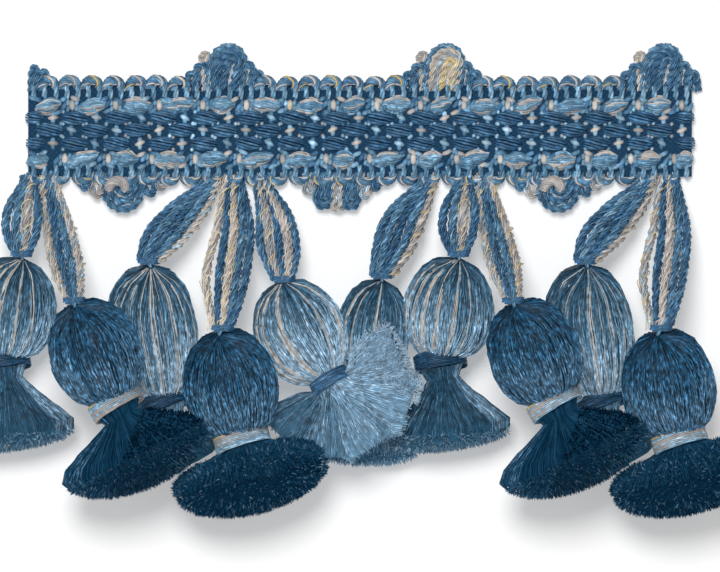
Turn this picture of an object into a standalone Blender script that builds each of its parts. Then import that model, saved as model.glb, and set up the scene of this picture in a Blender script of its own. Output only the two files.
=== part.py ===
"""Tassel fringe: a cut length of woven braid with ten tassels hung from it on bunches of cord.

The fringe lies on a level surface at z = 0, heading and back tassels flat on it. X runs along
the braid, +Y towards the picots of its upper edge, and the tassels fan out towards -Y. The
origin is under the middle of the whole piece. Lengths below are in millimetres.
"""

import math

import bpy
import numpy as np
from mathutils import Matrix, Vector

MM = 0.001
FLOOR = 0.0

# Middle of the whole piece in the lengths below, which the origin lies under.
MIDDLE = (-0.13, -0.49)

# Heading braid.
HEADING_LENGTH = 126.0
HEADING_MIDDLE_Y = 28.3
WEFT_PITCH = 1.97
COLUMN_STEP = WEFT_PITCH / 2
SLUB_PITCH = 8.0
PICOT_PITCH = 4 * COLUMN_STEP
PATTERN_REPEAT = 82.65
EDGE_MOTIF_PITCH = PATTERN_REPEAT / 2
ROSETTE_X = 15.2
ROSETTE_HALF_WIDTH = 6.6
ROSETTE_RISE = 5.6
FAN_X = -3.8
FAN_HALF_WIDTH = 7.0
FAN_DROP = 4.2
PICOT_REACH = 2.3
PICOT_VALLEY = 1.2
PLAIN_EDGE = 0.1

# Rows of the weave from the upper edge to the lower: distance from the middle line, height of
# the surface, rise of the yarn over it, what repeats along the row, and where the repeat starts.
HEADING_ROWS = (
    # offset, height, rise, repeat, phase
    (8.4, 1.9, 0.4, "weft", 0.0),
    (6.2, 1.9, 0.4, "weft", 0.0),
    (5.6, 2.0, 0.6, "slub", 0.12),
    (4.1, 2.0, 1.0, "slub", 0.12),
    (3.2, 1.9, 0.0, "slub", 0.0),
    (2.4, 1.9, 0.7, "slub", 0.37),
    (1.3, 1.7, 0.0, "slub", 0.0),
    (0.2, 1.9, 0.7, "slub", 0.87),
    (-1.0, 1.7, 0.0, "slub", 0.0),
    (-2.2, 1.9, 0.7, "slub", 0.37),
    (-3.2, 1.9, 0.0, "slub", 0.0),
    (-4.2, 2.0, 1.0, "slub", 0.62),
    (-5.8, 2.0, 0.6, "slub", 0.62),
    (-6.5, 1.9, 0.4, "weft", 0.0),
    (-8.7, 1.9, 0.4, "weft", 0.0),
)
PICOT_THICKNESS = 1.7

# Tassels.
RING_SIDES = 16
HEAD_PROFILE = (
    # share of the head's length, share of its half width
    (0.03, 0.38),
    (0.13, 0.74),
    (0.30, 0.96),
    (0.50, 1.00),
    (0.72, 0.88),
    (0.90, 0.66),
)
SKIRT_PROFILE = (
    # share of the skirt's length, share of its half width
    (0.13, 0.70),
    (0.36, 0.97),
    (0.62, 1.00),
    (0.84, 0.82),
)
SKIRT_CAP_SHARE = 0.5
LOCK_LENGTH = 1.5
LOCK_TAPER = 0.55
BINDING_WIDTH = 3.0
BINDING_THICKNESS = 0.9
BINDING_SIDES = 14
CLEARANCE = 0.35

# One entry for each kind of tassel. The line through its middle runs from the head's top past
# the belly and the neck to the skirt's cut end. Pairs are half width and half thickness. lean
# turns the neck in the plane of the surface, in degrees. roll is the height that the skirt's
# right side gains over its left, and sweep draws that side back towards the head.
TASSELS = {
    "dark_left": {
        "top": (-52.3, -3.2, 15.4),
        "belly": (-50.2, -12.5, 16.8),
        "neck": (-46.4, -23.4, 15.0),
        "hem": (-41.6, -37.8, 13.0),
        "head": (8.7, 6.4),
        "neck_size": (4.9, 4.2),
        "skirt": (14.2, 7.2),
        "lean": 0.0,
        "roll": 0.0,
        "sweep": 1.0,
    },
    "dark_middle": {
        "top": (-24.5, -8.9, 12.2),
        "belly": (-24.3, -18.6, 12.6),
        "neck": (-22.4, -30.4, 11.6),
        "hem": (-21.4, -43.4, 9.0),
        "head": (8.7, 6.4),
        "neck_size": (4.9, 4.2),
        "skirt": (14.7, 7.2),
        "lean": 16.0,
        "roll": 3.0,
        "sweep": 0.0,
    },
    "light_left": {
        "top": (-39.9, 3.4, 6.2),
        "belly": (-39.6, -7.4, 6.3),
        "neck": (-37.2, -23.2, 3.8),
        "hem": (-32.4, -35.0, 2.2),
        "head": (8.3, 6.3),
        "neck_size": (4.2, 2.4),
        "skirt": (7.0, 2.2),
        "lean": 0.0,
        "roll": 0.0,
        "sweep": 0.0,
    },
    "light_crushed": {
        "top": (-14.4, 0.0, 6.2),
        "belly": (-11.6, -8.6, 6.8),
        "neck": (-5.6, -19.2, 9.8),
        "hem": (0.4, -31.2, 10.4),
        "head": (8.1, 6.0),
        "neck_size": (4.4, 3.2),
        "skirt": (15.0, 2.3),
        "lean": 0.0,
        "roll": 13.0,
        "sweep": 5.0,
    },
    "light_hidden": {
        "top": (3.9, 0.2, 5.2),
        "belly": (2.4, -8.6, 5.3),
        "neck": (1.6, -20.6, 3.4),
        "hem": (-1.0, -34.8, 2.6),
        "head": (5.2, 5.3),
        "neck_size": (3.6, 2.4),
        "skirt": (6.4, 2.4),
        "lean": 0.0,
        "roll": 0.0,
        "sweep": 0.0,
    },
    "light_right": {
        "top": (15.8, 4.8, 6.2),
        "belly": (16.7, -4.8, 6.4),
        "neck": (15.4, -15.6, 5.4),
        "hem": (18.3, -31.0, 3.8),
        "head": (8.2, 6.3),
        "neck_size": (5.2, 4.4),
        "skirt": (10.3, 3.8),
        "lean": 0.0,
        "roll": 0.0,
        "sweep": 0.0,
    },
}

# Cords of each hanger, from the braid's lower edge to the tie on the tassel's head. root_x is
# where a cord leaves the braid. At a third and at two thirds of its length it is pushed
# sideways by upper_bow and lower_bow, and raised by upper_lift and lower_lift.
CORD_RADIUS = 1.35
ROOT_SHARE = 0.6
CORD_SIDES = 4
CORD_STEPS = 7
ROOT_Y = 18.3
ROOT_HEIGHT = 1.6
ROOT_BAR = (0.7, 1.3, 1.5)
TIE_RADIUS = 1.9
TIE_SPREAD = 0.53
HANGERS = {
    "light_left": {
        "tie": (-40.1, 5.9, 6.2),
        "cords": (
            # root_x, upper_bow, lower_bow, upper_lift, lower_lift
            (-29.2, -3.2, -3.6, 0.0, 0.0),
            (-28.5, -1.5, -1.5, 0.6, 0.6),
            (-27.8, 0.3, 0.6, 0.0, 0.0),
            (-27.1, 2.0, 2.7, 0.6, 0.4),
        ),
    },
    "dark_middle": {
        "tie": (-25.4, -6.7, 11.8),
        "cords": (
            (-25.0, -0.4, -2.5, 0.0, 0.0),
            (-24.2, 0.5, -0.2, 1.4, 1.4),
            (-23.3, 1.2, 1.7, 0.0, 0.0),
            (-22.4, 1.8, 3.3, 0.8, 0.6),
        ),
    },
    "light_crushed": {
        "tie": (-15.4, 2.7, 6.2),
        "cords": (
            (-19.4, -0.2, -1.4, 0.0, 0.0),
            (-18.7, 0.9, 0.9, 0.6, 0.0),
            (-18.0, 2.4, 3.5, 0.0, 0.0),
        ),
    },
    "light_hidden": {
        "tie": (4.4, 3.2, 5.4),
        "cords": (
            (11.6, -3.8, -3.3, 0.0, 0.0),
            (12.4, -1.3, -0.4, 0.6, 0.4),
            (13.2, 1.2, 2.6, 0.0, 0.0),
        ),
    },
    "light_right": {
        "tie": (17.6, 6.8, 6.4),
        "cords": (
            (19.0, -3.2, -3.4, 2.6, 1.4),
            (19.8, -0.9, -0.9, 3.0, 1.6),
            (20.6, 2.2, 3.0, 3.0, 2.2),
        ),
    },
    "dark_right": {
        "tie": (28.8, -1.4, 15.2),
        "cords": (
            (22.8, -1.2, -1.6, -3.9, -3.0),
            (23.5, -0.8, -0.1, -3.8, -2.2),
            (24.2, -0.2, 1.4, -3.9, -2.6),
        ),
    },
}

# The ten places of the repeat: name, kind of tassel, kind of hanger, yarn, shift along X.
PLACES = (
    # name, tassel, hanger, tassel's shift, hanger's shift, yarn
    ("light_1", "light_right", "light_right", -PATTERN_REPEAT, -PATTERN_REPEAT, "light"),
    ("dark_1", "dark_left", "dark_right", 0.0, -PATTERN_REPEAT, "navy"),
    ("light_2", "light_left", "light_left", 0.0, 0.0, "light"),
    ("dark_2", "dark_middle", "dark_middle", 0.0, 0.0, "navy"),
    ("light_3", "light_crushed", "light_crushed", 0.0, 0.0, "light"),
    ("light_4", "light_hidden", "light_hidden", 0.0, 0.0, "light"),
    ("light_5", "light_right", "light_right", 0.0, 0.0, "light"),
    ("dark_3", "dark_left", "dark_right", PATTERN_REPEAT, 0.0, "navy"),
    ("light_6", "light_left", "light_left", PATTERN_REPEAT, PATTERN_REPEAT, "light"),
    ("dark_4", "dark_middle", "dark_middle", PATTERN_REPEAT, PATTERN_REPEAT, "navy"),
)

SHARP_ANGLE = 50.0
MATERIALS = {
    # name: colour, roughness
    "braid": ((0.13, 0.27, 0.42), 0.75),
    "cord": ((0.12, 0.26, 0.43), 0.65),
    "light": ((0.22, 0.38, 0.53), 0.5),
    "navy": ((0.02, 0.07, 0.16), 0.5),
    "taupe": ((0.45, 0.39, 0.35), 0.6),
    "blue": ((0.03, 0.10, 0.20), 0.5),
}


def clear_scene():
    for obj in list(bpy.data.objects):
        bpy.data.objects.remove(obj, do_unlink=True)


def material(name):
    found = bpy.data.materials.get(name)
    if found:
        return found
    colour, roughness = MATERIALS[name]
    made = bpy.data.materials.new(name)
    made.use_nodes = True
    shader = made.node_tree.nodes["Principled BSDF"]
    shader.inputs["Base Color"].default_value = (*colour, 1.0)
    shader.inputs["Roughness"].default_value = roughness
    shader.inputs["Metallic"].default_value = 0.0
    return made


def add_mesh(name, points, faces, material_name):
    mesh = bpy.data.meshes.new(name)
    mesh.from_pydata([tuple(MM * value for value in point) for point in points], [], faces)
    mesh.validate()
    mesh.materials.append(material(material_name))
    mesh.shade_smooth()
    mesh.set_sharp_from_angle(angle=math.radians(SHARP_ANGLE))
    obj = bpy.data.objects.new(name, mesh)
    bpy.context.scene.collection.objects.link(obj)
    return obj


def loft(rings, start=None, end=None):
    """Closed skin over rings of equal length, each end shut by a fan to a point."""
    sides = len(rings[0])
    points = [point for ring in rings for point in ring]
    faces = []
    for ring in range(len(rings) - 1):
        for side in range(sides):
            after = (side + 1) % sides
            low, high = ring * sides, (ring + 1) * sides
            faces.append((low + side, low + after, high + after, high + side))
    for ring, centre, outward in ((0, start, -1), (len(rings) - 1, end, 1)):
        if centre is None:
            centre = np.mean(rings[ring], axis=0)
        points.append(centre)
        for side in range(sides):
            pair = (ring * sides + side, ring * sides + (side + 1) % sides)
            faces.append((*pair[::outward], len(points) - 1))
    return points, faces


def curve_through(points, share):
    """Point and direction on a smooth curve through evenly spaced points, share from 0 to 1."""
    nodes = [Vector(point) for point in points]
    spans = len(nodes) - 1
    place = min(max(share * spans, 0.0), spans - 1e-6)
    index = int(place)
    part = place - index
    before = nodes[index - 1] if index else 2 * nodes[0] - nodes[1]
    last = nodes[index + 2] if index + 2 <= spans else 2 * nodes[-1] - nodes[-2]
    p0, p1, p2, p3 = before, nodes[index], nodes[index + 1], last
    point = 0.5 * (
        2 * p1
        + part * (p2 - p0)
        + part**2 * (2 * p0 - 5 * p1 + 4 * p2 - p3)
        + part**3 * (3 * p1 - p0 - 3 * p2 + p3)
    )
    slope = 0.5 * (
        (p2 - p0)
        + 2 * part * (2 * p0 - 5 * p1 + 4 * p2 - p3)
        + 3 * part**2 * (3 * p1 - p0 - 3 * p2 + p3)
    )
    return point, slope.normalized()


def oval(centre, along, half_width, half_thickness, sides, side_rise=0.0, sweep=0.0):
    """Ring of points round a line, wide way level but for side_rise, and kept above the floor.

    The side where the wide way points is drawn back against the line by up to sweep.
    """
    across = Vector((-along.y, along.x, 0.0)).normalized()
    across = (across + Vector((0, 0, side_rise))).normalized()
    up = across.cross(along).normalized()
    if up.z < 0:
        up = -up
    ring = []
    for side in range(sides):
        angle = 2 * math.pi * side / sides
        point = centre + across * half_width * math.cos(angle) + up * half_thickness * math.sin(angle)
        point -= along * sweep * max(0.0, math.cos(angle)) ** 2
        ring.append((point.x, point.y, max(point.z, FLOOR)))
    return ring


def repeat_lump(x, pitch, phase):
    wave = math.cos(2 * math.pi * (x / pitch + phase))
    return max(0.0, wave) ** 0.6


def edge_motif(x, first_x, half_width):
    """Height, 0 to 1, of the nearest rosette or fan at x."""
    away = (x - first_x + EDGE_MOTIF_PITCH / 2) % EDGE_MOTIF_PITCH - EDGE_MOTIF_PITCH / 2
    return max(0.0, 1 - (away / half_width) ** 2)


def picot(x):
    """Reach of the picots past the woven edge at x."""
    return PICOT_VALLEY if math.cos(2 * math.pi * x / PICOT_PITCH) < -0.5 else PICOT_REACH


def holds_hanger(x):
    """Whether a hanger leaves the lower edge at x, which then carries no picots."""
    for _, _, hanger, _, shift, _ in PLACES:
        roots = [cord[0] + shift for cord in HANGERS[hanger]["cords"]]
        if min(roots) - PICOT_PITCH < x < max(roots) + PICOT_PITCH / 2:
            return True
    return False


def lower_reach(x):
    if holds_hanger(x):
        return PLAIN_EDGE
    return picot(x) + FAN_DROP * edge_motif(x, FAN_X, FAN_HALF_WIDTH)


def make_heading():
    half = HEADING_LENGTH / 2
    columns = round(HEADING_LENGTH / COLUMN_STEP)
    xs = [-half + HEADING_LENGTH * column / columns for column in range(columns + 1)]
    top = []
    for column, x in enumerate(xs):
        upper = HEADING_ROWS[0][0] + picot(x) + ROSETTE_RISE * edge_motif(x, ROSETTE_X, ROSETTE_HALF_WIDTH)
        lower = HEADING_ROWS[-1][0] - lower_reach(x)
        line = [(x, HEADING_MIDDLE_Y + upper, PICOT_THICKNESS)]
        for offset, height, rise, repeat, phase in HEADING_ROWS:
            share = column % 2 if repeat == "weft" else repeat_lump(x, SLUB_PITCH, phase)
            line.append((x, HEADING_MIDDLE_Y + offset, height + rise * share))
        line.append((x, HEADING_MIDDLE_Y + lower, PICOT_THICKNESS))
        top.append(line)
    rows = len(top[0])
    points = [point for line in top for point in line]
    faces = []
    for column in range(columns):
        for row in range(rows - 1):
            first = column * rows + row
            faces.append((first, first + 1, first + rows + 1, first + rows))
    rim = list(range(rows))
    rim += [column * rows + rows - 1 for column in range(1, columns + 1)]
    rim += [columns * rows + row for row in range(rows - 2, -1, -1)]
    rim += [column * rows for column in range(columns - 1, 0, -1)]
    base = len(points)
    points += [(points[index][0], points[index][1], FLOOR) for index in rim]
    count = len(rim)
    for place in range(count):
        after = (place + 1) % count
        faces.append((rim[place], base + place, base + after, rim[after]))
    faces.append(tuple(base + place for place in range(count - 1, -1, -1)))
    add_mesh("heading_braid", points, faces, "braid")


def tassel_line(kind, shift):
    names = ("top", "belly", "neck", "hem")
    return [Vector(kind[name]) + Vector((shift, 0, 0)) for name in names]


def neck_way(kind):
    """Direction of the neck, which leans away from the line to the hem."""
    down = (Vector(kind["hem"]) - Vector(kind["neck"])).normalized()
    return down, Matrix.Rotation(math.radians(kind["lean"]), 3, "Z") @ down


def make_tassel(name, kind, shift, yarn):
    top, belly, neck, hem = tassel_line(kind, shift)
    down, way = neck_way(kind)
    head_width, head_thickness = kind["head"]
    neck_width, neck_thickness = kind["neck_size"]
    skirt_width, skirt_thickness = kind["skirt"]
    groove = BINDING_WIDTH / 2 + CLEARANCE
    rings = []
    for share, size in HEAD_PROFILE:
        centre, along = curve_through((top, belly, neck), share * (1 - groove / (neck - top).length))
        rings.append(oval(centre, along, head_width * size, head_thickness * size, RING_SIDES))
    for step in (-groove, groove):
        rings.append(oval(neck + way * step, way, neck_width, neck_thickness, RING_SIDES))
    root = neck + way * groove
    rise = kind["roll"] / (2 * skirt_width)
    for share, size in SKIRT_PROFILE:
        width = neck_width + (skirt_width - neck_width) * size
        thickness = neck_thickness + (skirt_thickness - neck_thickness) * size
        sweep = kind["sweep"] * size
        centre = root.lerp(hem, share)
        rings.append(oval(centre, down, width, thickness, RING_SIDES, rise, sweep))
    rim = len(rings) - 1
    width, thickness = SKIRT_CAP_SHARE * skirt_width, SKIRT_CAP_SHARE * skirt_thickness
    rings.append(oval(hem, down, width, thickness, RING_SIDES, rise, kind["sweep"] / 2))
    points, faces = loft(rings, start=top)
    rim_faces = range(rim * RING_SIDES, (rim + 1) * RING_SIDES)
    points, faces = grow_locks(points, faces, rim_faces, down)
    add_mesh(name, points, faces, yarn)


def grow_locks(points, faces, chosen, down):
    """Draw each chosen face out into a four-sided lock that narrows to its tip."""
    points = [Vector(point) for point in points]
    kept = [face for index, face in enumerate(faces) if index not in chosen]
    for index in chosen:
        face = faces[index]
        corners = [points[corner] for corner in face]
        centre = sum(corners, Vector()) / len(corners)
        normal = (corners[1] - corners[0]).cross(corners[2] - corners[0]).normalized()
        tip = centre + (normal + down).normalized() * LOCK_LENGTH
        start = len(points)
        for corner in corners:
            moved = tip + (corner - centre) * LOCK_TAPER
            points.append(Vector((moved.x, moved.y, max(moved.z, FLOOR))))
        for side in range(len(face)):
            after = (side + 1) % len(face)
            kept.append((face[side], face[after], start + after, start + side))
        kept.append(tuple(range(start, start + len(face))))
    return [tuple(point) for point in points], kept


def make_binding(name, kind, shift, colour):
    neck = tassel_line(kind, shift)[2]
    way = neck_way(kind)[1]
    inner_width, inner_thickness = (size + CLEARANCE for size in kind["neck_size"])
    sections = (
        (-BINDING_WIDTH / 2, 0.0),
        (-BINDING_WIDTH / 4, BINDING_THICKNESS),
        (BINDING_WIDTH / 4, BINDING_THICKNESS),
        (BINDING_WIDTH / 2, 0.0),
    )
    rings = [
        oval(neck + way * step, way, inner_width + out, inner_thickness + out, BINDING_SIDES)
        for step, out in sections
    ]
    points = [point for ring in rings for point in ring]
    faces = []
    for ring in range(len(rings)):
        for side in range(BINDING_SIDES):
            after = (side + 1) % BINDING_SIDES
            low = ring * BINDING_SIDES
            high = (ring + 1) % len(rings) * BINDING_SIDES
            faces.append((low + side, low + after, high + after, high + side))
    add_mesh(name, points, faces, colour)


def cord_course(cord, tie, shift, place):
    """Points of a cord from the braid to the tie, place being its distance from the bunch's middle."""
    root_x, upper_bow, lower_bow, upper_lift, lower_lift = cord
    root = Vector((root_x + shift, ROOT_Y, ROOT_HEIGHT))
    end = Vector(tie) + Vector((shift + TIE_SPREAD * place, 0, 0))
    upper = root.lerp(end, 1 / 3) + Vector((upper_bow, 0, upper_lift))
    lower = root.lerp(end, 2 / 3) + Vector((lower_bow, 0, lower_lift))
    return root, upper, lower, end


def cord_mesh(course):
    """Tube of a cord, pressed thinner where the braid holds it."""
    rings = []
    for step in range(CORD_STEPS + 1):
        centre, along = curve_through(course, step / CORD_STEPS)
        radius = CORD_RADIUS * min(1.0, ROOT_SHARE + (1 - ROOT_SHARE) * step / 2)
        rings.append(oval(centre, along, radius, radius, CORD_SIDES))
    return loft(rings)


def make_hanger(name, kind, shift):
    tie = Vector(kind["tie"]) + Vector((shift, 0, 0))
    bpy.ops.mesh.primitive_ico_sphere_add(subdivisions=1, radius=TIE_RADIUS * MM, location=tie * MM)
    knot = bpy.context.object
    knot.name = name
    knot.data.materials.append(material("cord"))
    helpers = []
    for number, cord in enumerate(kind["cords"]):
        place = number - (len(kind["cords"]) - 1) / 2
        points, faces = cord_mesh(cord_course(cord, kind["tie"], shift, place))
        helpers.append(add_mesh(f"{name}_cord_{number}", points, faces, "cord"))
    roots = [cord[0] + shift for cord in kind["cords"]]
    bpy.ops.mesh.primitive_cube_add(size=1)
    bar = bpy.context.object
    extra, depth, height = ROOT_BAR
    bar.scale = ((max(roots) - min(roots) + extra) * MM, depth * MM, height * MM)
    bar.location = ((max(roots) + min(roots)) / 2 * MM, ROOT_Y * MM, ROOT_HEIGHT * MM)
    helpers.append(bar)
    for number, helper in enumerate(helpers):
        helper.hide_render = True
        helper.display_type = "WIRE"
        union = knot.modifiers.new(f"union_{number}", "BOOLEAN")
        union.operation = "UNION"
        union.object = helper


clear_scene()
make_heading()
for place, tassel, hanger, tassel_shift, hanger_shift, yarn_name in PLACES:
    make_tassel(f"tassel_{place}", TASSELS[tassel], tassel_shift, yarn_name)
    make_binding(
        f"binding_{place}", TASSELS[tassel], tassel_shift, "taupe" if yarn_name == "navy" else "blue"
    )
    make_hanger(f"hanger_{place}", HANGERS[hanger], hanger_shift)
for piece in bpy.data.objects:
    piece.location -= Vector((*MIDDLE, 0.0)) * MM
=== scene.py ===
"""Tassel fringe: a cut length of woven braid with ten tassels hung from it on bunches of cord.

It lies on a level surface, X along the braid, +Y from the tassels to the braid's upper picots.
Lengths are in millimetres until at(), local(), grown() or MM turn them into metres.
"""

import math
import random

import bpy
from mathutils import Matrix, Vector


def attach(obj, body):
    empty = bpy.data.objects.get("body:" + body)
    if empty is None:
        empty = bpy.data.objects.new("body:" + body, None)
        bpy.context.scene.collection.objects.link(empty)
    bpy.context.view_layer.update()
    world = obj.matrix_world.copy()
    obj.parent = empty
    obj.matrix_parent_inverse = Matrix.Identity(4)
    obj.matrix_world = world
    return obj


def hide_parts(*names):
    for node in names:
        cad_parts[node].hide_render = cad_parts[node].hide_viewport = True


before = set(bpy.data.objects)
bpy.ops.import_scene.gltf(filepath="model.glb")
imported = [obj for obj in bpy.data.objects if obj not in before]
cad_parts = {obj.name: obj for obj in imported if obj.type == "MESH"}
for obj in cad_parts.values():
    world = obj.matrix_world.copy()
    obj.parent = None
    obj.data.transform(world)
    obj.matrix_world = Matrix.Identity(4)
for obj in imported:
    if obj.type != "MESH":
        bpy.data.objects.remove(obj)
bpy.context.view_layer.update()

# Camera, table and lights. The fringe lies on a plain white table and is seen from straight
# above, under a broad soft light from beyond the braid and a weaker one from the tassels' side.
MM = 0.001
MIDDLE = Vector((-0.13, -0.49, 0.0))
VIEW_WIDTH = 136.8
VIEW_MIDDLE = (0.0, -1.14)
LENS = 500.0
SENSOR = 36.0
LIGHTS = (
    # name, place, size, power in watts, whether it casts shadows
    ("back_panel", (-180, 640, 1400), 700, 15.0, True),
    ("front_panel", (-300, -1150, 1100), 500, 13.0, False),
)
ROOM_BRIGHTNESS = 0.29
TABLE_SIZE = 3000.0
TABLE_WHITE = (0.94, 0.94, 0.94, 1.0)


def at(x, y, z=0.0):
    """A point of the fringe in metres, from its place along and across the repeat."""
    return (Vector((x, y, z)) - MIDDLE) * MM


def shown(name, data):
    made = bpy.data.objects.new(name, data)
    bpy.context.scene.collection.objects.link(made)
    return made


camera_data = bpy.data.cameras.new("camera")
camera_data.lens = LENS
camera_data.sensor_width = SENSOR
camera_data.clip_start = 0.1
camera_data.clip_end = 20.0
camera = shown("camera", camera_data)
camera.location = at(*VIEW_MIDDLE, VIEW_WIDTH * LENS / SENSOR)
bpy.context.scene.camera = camera
bpy.context.scene.view_settings.view_transform = "Standard"

for light_name, place, size, power, casts in LIGHTS:
    lamp = bpy.data.lights.new(light_name, "AREA")
    lamp.shape = "DISK"
    lamp.size = size * MM
    lamp.energy = power
    lamp.use_shadow = casts
    panel = shown(light_name, lamp)
    panel.location = at(*place)
    panel.rotation_mode = "QUATERNION"
    panel.rotation_quaternion = (at(*VIEW_MIDDLE) - at(*place)).to_track_quat("-Z", "Y")
    panel.visible_camera = False

room = bpy.data.worlds.new("room")
room.use_nodes = True
room.node_tree.nodes["Background"].inputs["Color"].default_value = (1.0, 1.0, 1.0, 1.0)
room.node_tree.nodes["Background"].inputs["Strength"].default_value = ROOM_BRIGHTNESS
bpy.context.scene.world = room

table_white = bpy.data.materials.new("table_white")
table_white.use_nodes = True
table_white.node_tree.nodes["Principled BSDF"].inputs["Base Color"].default_value = TABLE_WHITE
table_white.node_tree.nodes["Principled BSDF"].inputs["Roughness"].default_value = 0.9
table_mesh = bpy.data.meshes.new("table")
half_table = TABLE_SIZE / 2
corner_signs = ((-1, -1), (1, -1), (1, 1), (-1, 1))
table_corners = [at(x * half_table, y * half_table) for x, y in corner_signs]
table_mesh.from_pydata(table_corners, [], [(0, 1, 2, 3)])
table_mesh.materials.append(table_white)
table = shown("table", table_mesh)

# Woven ground of the heading. A narrow dark blue band of cotton, plain woven on a ribbon loom,
# which carries all the fancy yarns. It lies flat on its back.
BAND_LENGTH = 126.0
BAND_WIDTH = 17.4
BAND_MIDDLE_Y = 28.3
BAND_TOP = 1.5
BAND_COLUMNS = 84
BAND_ROWS = 8
EDGE_DROP = 0.6
EDGE_WANDER = 0.12
EDGE_WAVES = 2.3
GROUND_STOPS = ((0.0, (0.005, 0.028, 0.066)), (1.0, (0.015, 0.078, 0.16)))
GROUND_THREAD = 0.52
FINE_FIBRES = 3000.0
GROUND_RELIEF = {"strength": 0.6, "depth": 0.2}


def add_node(near, kind, inputs=None, **settings):
    """One node in a tree or by a socket: sockets among its inputs are linked, others are set."""
    tree = near.id_data
    made = tree.nodes.new(kind)
    for key, value in settings.items():
        setattr(made, key, value)
    for key, value in (inputs or {}).items():
        if isinstance(value, bpy.types.NodeSocket):
            tree.links.new(value, made.inputs[key])
        else:
            made.inputs[key].default_value = value
    return made


def output(near, kind, inputs=None, **settings):
    """First output of one more node."""
    return add_node(near, kind, inputs, **settings).outputs[0]


def maths(operation, *values, kind="ShaderNodeMath"):
    near = next(value for value in values if isinstance(value, bpy.types.NodeSocket))
    return output(near, kind, dict(enumerate(values)), operation=operation)


def times(*values):
    return maths("MULTIPLY", *values)


def plus(*values):
    return maths("ADD", *values)


def minus(*values):
    return maths("SUBTRACT", *values)


def vectors(operation, *values):
    return maths(operation, *values, kind="ShaderNodeVectorMath")


def noise(place, scale, detail):
    """Factor and colour of a noise."""
    inputs = {"Vector": place, "Scale": scale, "Detail": detail}
    return add_node(place, "ShaderNodeTexNoise", inputs).outputs


def new_material(name, roughness, gloss):
    """A cloth material with its tree and shader."""
    made = bpy.data.materials.new(name)
    made.use_nodes = True
    shader = made.node_tree.nodes["Principled BSDF"]
    shader.inputs["Roughness"].default_value = roughness
    shader.inputs["Specular IOR Level"].default_value = gloss
    return made, made.node_tree, shader


def colour_of(value, stops):
    """Colour of a value between stops, each of which is a place and a colour."""
    ramp = add_node(value, "ShaderNodeValToRGB", {0: value})
    elements = ramp.color_ramp.elements
    while len(elements) < len(stops):
        elements.new(0.5)
    for element, (spot, colour) in zip(elements, stops):
        element.position = spot
        element.color = (*colour, 1.0)
    return ramp.outputs[0]


def finish_with(shader, colour, height, strength, depth):
    """Gives a shader its colour and a relief of this depth."""
    relief = {"Strength": strength, "Distance": depth * MM, "Height": height}
    links = shader.id_data.links
    links.new(colour, shader.inputs["Base Color"])
    links.new(output(height, "ShaderNodeBump", relief), shader.inputs["Normal"])


def plain_weave(name):
    """Over and under threads of the ground, as a raised and tinted check."""
    made, tree, shader = new_material(name, roughness=0.9, gloss=0.2)
    place = add_node(tree, "ShaderNodeTexCoord").outputs["Object"]
    parts = add_node(place, "ShaderNodeSeparateXYZ", {0: place})
    rate = math.pi / (GROUND_THREAD * MM)
    turns = [maths("SINE", times(parts.outputs[axis], rate)) for axis in (0, 1)]
    check = maths("MULTIPLY_ADD", times(*turns), 0.5, 0.5)
    mixed = times(check, noise(place, FINE_FIBRES, 2.0)[0])
    finish_with(shader, colour_of(mixed, GROUND_STOPS), mixed, **GROUND_RELIEF)
    return made


def ground_band():
    """Closed slab of the band, its long edges a little uneven as woven edges are."""
    across = BAND_ROWS + 1
    points = []
    for column in range(BAND_COLUMNS + 1):
        x = BAND_LENGTH * (column / BAND_COLUMNS - 0.5)
        for row in range(across):
            y = BAND_MIDDLE_Y + BAND_WIDTH * (row / BAND_ROWS - 0.5)
            drop = EDGE_DROP if row in (0, BAND_ROWS) else 0.0
            points.append(at(x, y + EDGE_WANDER * math.sin(EDGE_WAVES * x), BAND_TOP - drop))
    count = len(points)
    points += [Vector((point.x, point.y, 0.0)) for point in points]
    faces = []
    for column in range(BAND_COLUMNS):
        for row in range(BAND_ROWS):
            first = column * across + row
            quad = (first, first + across, first + across + 1, first + 1)
            faces.append(quad)
            faces.append(tuple(corner + count for corner in reversed(quad)))
    rim = [column * across for column in range(BAND_COLUMNS)]
    rim += [BAND_COLUMNS * across + row for row in range(BAND_ROWS)]
    rim += [column * across + BAND_ROWS for column in range(BAND_COLUMNS, 0, -1)]
    rim += list(range(BAND_ROWS, 0, -1))
    for first, second in zip(rim, rim[1:] + rim[:1]):
        faces.append((second, first, first + count, second + count))
    mesh = bpy.data.meshes.new("braid_ground")
    mesh.from_pydata(points, [], faces)
    mesh.materials.append(plain_weave("ground_cotton"))
    return shown("braid_ground", mesh)


braid_ground = ground_band()
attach(braid_ground, "root")
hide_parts("heading_braid")

# Fancy yarns on the face of the band. Short light bars of weft stand along both edges, soft
# flat floats in three staggered rows run along the middle, held down by small crossing ties,
# and thick slubs of loosely spun light blue and taupe yarn lie in a row on each side of them.
WEFT_PITCH = 2.066
SLUB_PITCH = 8.265
YARN_SEED = 7
YARN_STOPS = (
    # place of the tone, colour
    (0.00, (0.0045, 0.030, 0.062)),
    (0.25, (0.038, 0.120, 0.235)),
    (0.45, (0.115, 0.25, 0.37)),
    (0.62, (0.34, 0.51, 0.64)),
    (0.66, (0.33, 0.315, 0.31)),
    (0.84, (0.66, 0.61, 0.56)),
    (0.90, (0.50, 0.36, 0.13)),
    (1.00, (0.80, 0.70, 0.42)),
)
FIRST_TAUPE = 0.64
# Painted glints along the strands, and a mottle of random tone that also paints soft patches of sheen on
# the silk.
PAINTED_GLINT_SCALE = 0.7
PAINTED_GLINT_RANGE = (0.32, 0.70)
STRANDS_APART = 91.0
MOTTLE_SCALE = 900.0
MOTTLE_RANGE = (0.3, 0.7)
FIBRE_SCALE = 6000.0
FIBRE_RELIEF = {"strength": 0.25, "depth": 0.05}
FRIZZ_SCALE = 1500.0
ORIGIN = (0.0, 0.0, 0.0)
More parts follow.
